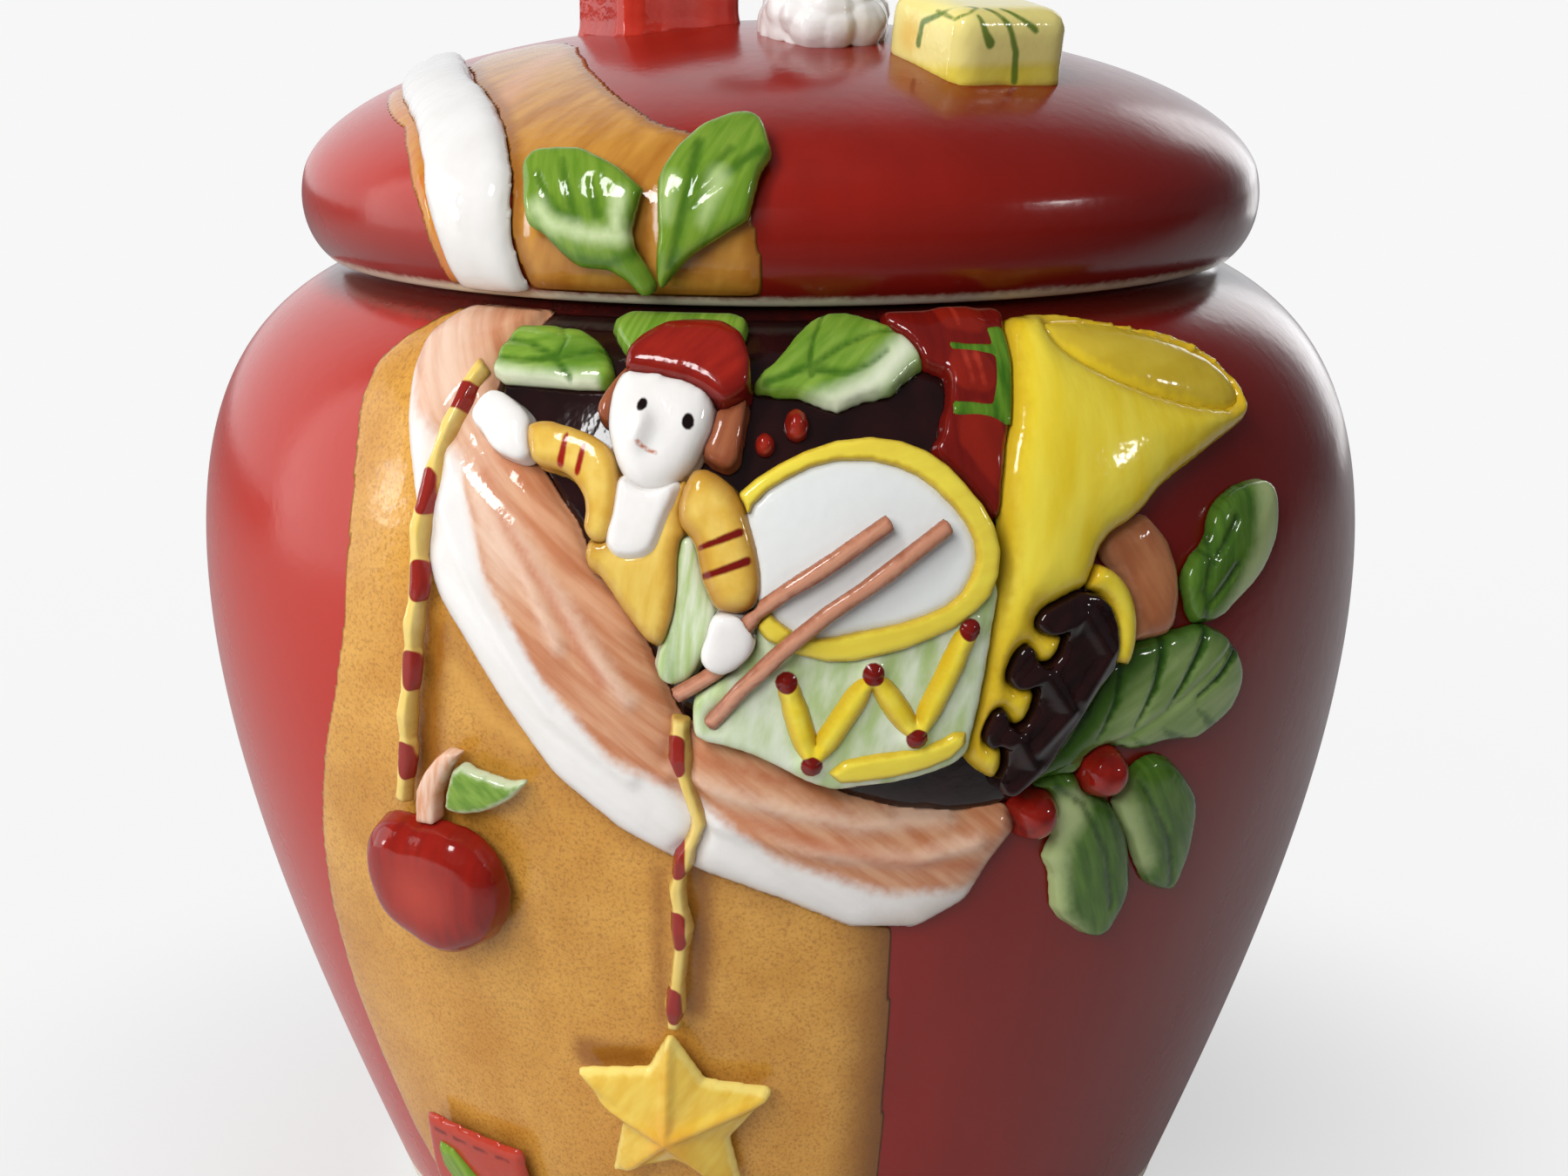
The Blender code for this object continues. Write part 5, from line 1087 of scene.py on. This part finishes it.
# %% Paint the parcel
bricks = [(*widths, line) for widths, line in zip(((5, 5), (5, 5), (7.5, 4.5)), GIFT_BRICKS)]
gleams = [[(31, 158.4), (31, 155)], [(33, 158), (33, 154.8)], [(32, 165), (32, 162)],
          [(35, 148), (35, 144)]]
paint("toy_parcel", DARK_RED, tone(100, 17, 12),
      [(drawn(*bricks), 0.4, tone(128, 28, 16)),
       (drawn(*alike(0.9, 0.3, gleams)), 0.5, BRIGHT_RED, 0.8)], lay=(90, 6, 1.2))
paint("toy_parcel_ribbon", LEAF, DARK_LEAF, lay=(80, 6, 1.5))

# %% [markdown]
# ## The drum
#
# Pale green is washed thinly over the drum's side, so that white shows through. Lace and hoops are
# lemon yellow, with a dark red knot at each bend.

# %% Paint the drum
paint("drum_skin", tone(226, 228, 226), tone(220, 223, 221), lay=(20, 16, 12))
knots = alike(3.1, 3.1, KNOTS)
paint("drum_shell", MINT, PALE_MINT,
      [(within(1.0, [(-9, 112), (4, 101)]), 2.0, PALE_MINT, 0.6),
       (drawn(*knots), 0.12, DARK_RED)], lay=(75, 7, 3), wander=0.3)
for name in ("drum_hoop_upper", "drum_hoop_lower"):
    paint(name, tone(222, 198, 66), PALE_LEMON, [(edge(0.25), 0.3, OLD_LEMON, 0.6)],
          lay=(10, 9, 2))
paint("drum_lacing", LEMON, PALE_LEMON,
      [(edge(0.4), 0.5, OLD_LEMON, 0.7),
       (drawn(*knots), 0.12, DARK_RED)], wander=0.1)
for name in ("drumstick_front", "drumstick_back"):
    paint(name, STICK, tone(204, 150, 122), [(edge(0.35), 0.5, DARK_STICK, 0.8)],
          lay=(32, 12, 0.7))

# %% [markdown]
# ## The horn
#
# The horn's yellow turns ochre along its edges and down its side next to the frill. Its mouth is
# darker with a clean rim, and the frill is a shiny chocolate brown.

# %% Paint the horn
paint("horn", LEMON, PALE_LEMON,
      [(edge(1.6), 1.6, OLD_LEMON, 0.7),
       (within(1.0, [(36.5, 126.5), (32.5, 118.5), (29, 106)]), 3.0, OLD_LEMON, 0.7)],
      lay=(75, 16, 4), wander=0.8)
paint("horn_mouth", tone(194, 164, 40), tone(204, 178, 56),
      [(edge(0.9), 0.5, LEMON, 0.8)], lay=(0, 12, 3))
paint("horn_loop", LEMON, PALE_LEMON, [(edge(0.6), 0.7, OLD_LEMON, 0.8)], lay=(-60, 9, 3))
paint("horn_frill", CHOCOLATE, BLACK, lay=(50, 5, 2), rough=0.07)

# %% [markdown]
# ## The apple and the star
#
# The apple is the jar's red, with painted light on its left cheek and painted shade down its right
# side. The star has orange along its ridges and a pale edge, where the glaze ran thin.

# %% Paint the apple and the star
paint("apple", RED, tone(128, 24, 15),
      # Painted light on the left cheek; painted shade down the right side.
      [(within(4.5, [(-57, 80)]), 4.5, BRIGHT_RED, 0.8),
       (within(1.0, [(-44, 88), (-42, 80), (-47, 71)]), 2.5, DARK_RED, 0.8)], lay=(85, 9, 1.6))
paint("apple_stem", PALE_SALMON, SALMON, lay=(80, 5, 1))
paint("apple_leaf", LEAF, LIGHT_LEAF, [(edge(0.5), 0.5, PALE_LEAF, 0.7)], lay=(-40, 3, 1))
paint("star", tone(228, 196, 84), tone(218, 174, 56),
      [(within(3.5, [STAR_MIDDLE]), 3.5, tone(222, 156, 44), 0.7),
       (within(0.4, *STAR_RIDGES), 1.0, tone(216, 156, 40), 0.5),
       (edge(0.5), 0.5, tone(240, 222, 130), 0.7)], lay=(45, 6, 2))

# %% [markdown]
# ## The striped cords and the patch
#
# A cord is pale yellow with a red band at each bead, and one more where the left cord meets the
# hand. The patch is a square of brighter red with a row of stitches.

# %% Paint the cords and the patch
HAND_TIE, TIE_HALF = 152.6, 1.7
for name, beads in (("garland_left", LEFT_BEADS), ("garland_right", RIGHT_BEADS)):
    cord = sheet_of(name)
    bands = [(2.7, 2.7, [(across, up - 1.9), (across, up + 1.9)]) for across, up in beads]
    paint(name, tone(232, 206, 124), COAT_LIGHT,
          [(edge(0.35), 0.5, COAT_SHADE, 0.7),
           (np.minimum(brushed(cord, *bands), abs(cord[:, 1] - HAND_TIE) - TIE_HALF), 0.15,
            tone(142, 38, 30))], wander=0.15, lay=(90, 9, 1))
stitches = [[(across, 28.6 - 0.1*(across + 80)), (across + 3.2, 28.3 - 0.1*(across + 80))]
            for across in (-78.0, -72.5, -67.0, -61.5)]
paint("patch", tone(172, 62, 46), BRIGHT_RED,
      [(drawn(*alike(0.8, 0.5, stitches)), 0.3, DARK_RED, 0.9)], lay=(-20, 8, 1.5))
paint("patch_leaf", LEAF, LIGHT_LEAF, lay=(-50, 6, 1))

# %% [markdown]
# ## The sack on the lid
#
# The sack's mouth carries on over the lid. Its cloth is brushed, not dabbed, from ochre to brown,
# with a salmon tint beside the white band and shadows round the two leaves. The leaves' pale
# patches are painted highlights.

# %% Paint the lid's figures
paint("lid_leaf_left", FRESH_LEAF, PALE_FRESH_LEAF,
      [(drawn(*alike(0.6, 1.8, LID_LEFT_VEINS)), 0.7, DARK_LEAF, 0.7),
       # Painted highlights: pale patches on the leaf.
       (within(0.8, [(-36, 15.5), (-33.5, 13.5), (-27.5, 12.5), (-22.5, 12.5)],
               [(-23.5, 17), (-23.5, 12.5)]), 1.5, tone(206, 220, 172), 0.9),
       (within(0.7, [(-35.5, 12), (-31, 9.5), (-25, 9), (-19, 11)]), 0.8, DARK_LEAF, 0.7)],
      lay=(-70, 8, 1.2))
veins = [(*widths, line) for widths, line in zip(((1.6, 1.4), (1.8, 0.6), (1.2, 0.4)),
                                                 LID_RIGHT_VEINS)]
paint("lid_leaf_right", FRESH_LEAF, PALE_FRESH_LEAF,
      [(drawn(*veins), 0.7, DARK_LEAF, 0.75),
       # Painted highlights: pale patches on the leaf.
       (drawn((1.6, 1.0, [(-16, 19), (-16.2, 15)]), (2.8, 0.8, [(-9, 19.5), (-11, 14.5)])),
        1.5, tone(190, 210, 146), 0.7)], lay=(65, 8, 1.2), wander=0.3)
paint("lid_sack_panel", tone(200, 144, 62), tone(166, 106, 36),
      [(within(3.0, [(-78, 62), (-62, 42), (-57, 26)]), 4.0, SALMON, 0.6),
       (edge(1.8), 1.4, BROWN, 0.7),
       (within(0.6, [(-34.5, 26), (-25, 22.5), (-20, 18), (-20.5, 9)], [(-12, 26), (-17, 20)]), 1.2,
        BROWN, 0.7),
       (drawn((0.9, 0.6, [(-19.2, 20), (-18.8, 13.5), (-17.8, 8.5)]),
              (1.0, 0.8, [(-40, 15.5), (-40, 11.5)])), 0.25, PALE_SALMON)], lay=(70, 18, 5.0))
paint("lid_sack_strip", DEEP_OCHRE, tone(190, 110, 50), lay=(80, 9, 2))
paint("lid_band", tone(224, 222, 219), tone(218, 215, 211), lay=(80, 12, 8))

# %% [markdown]
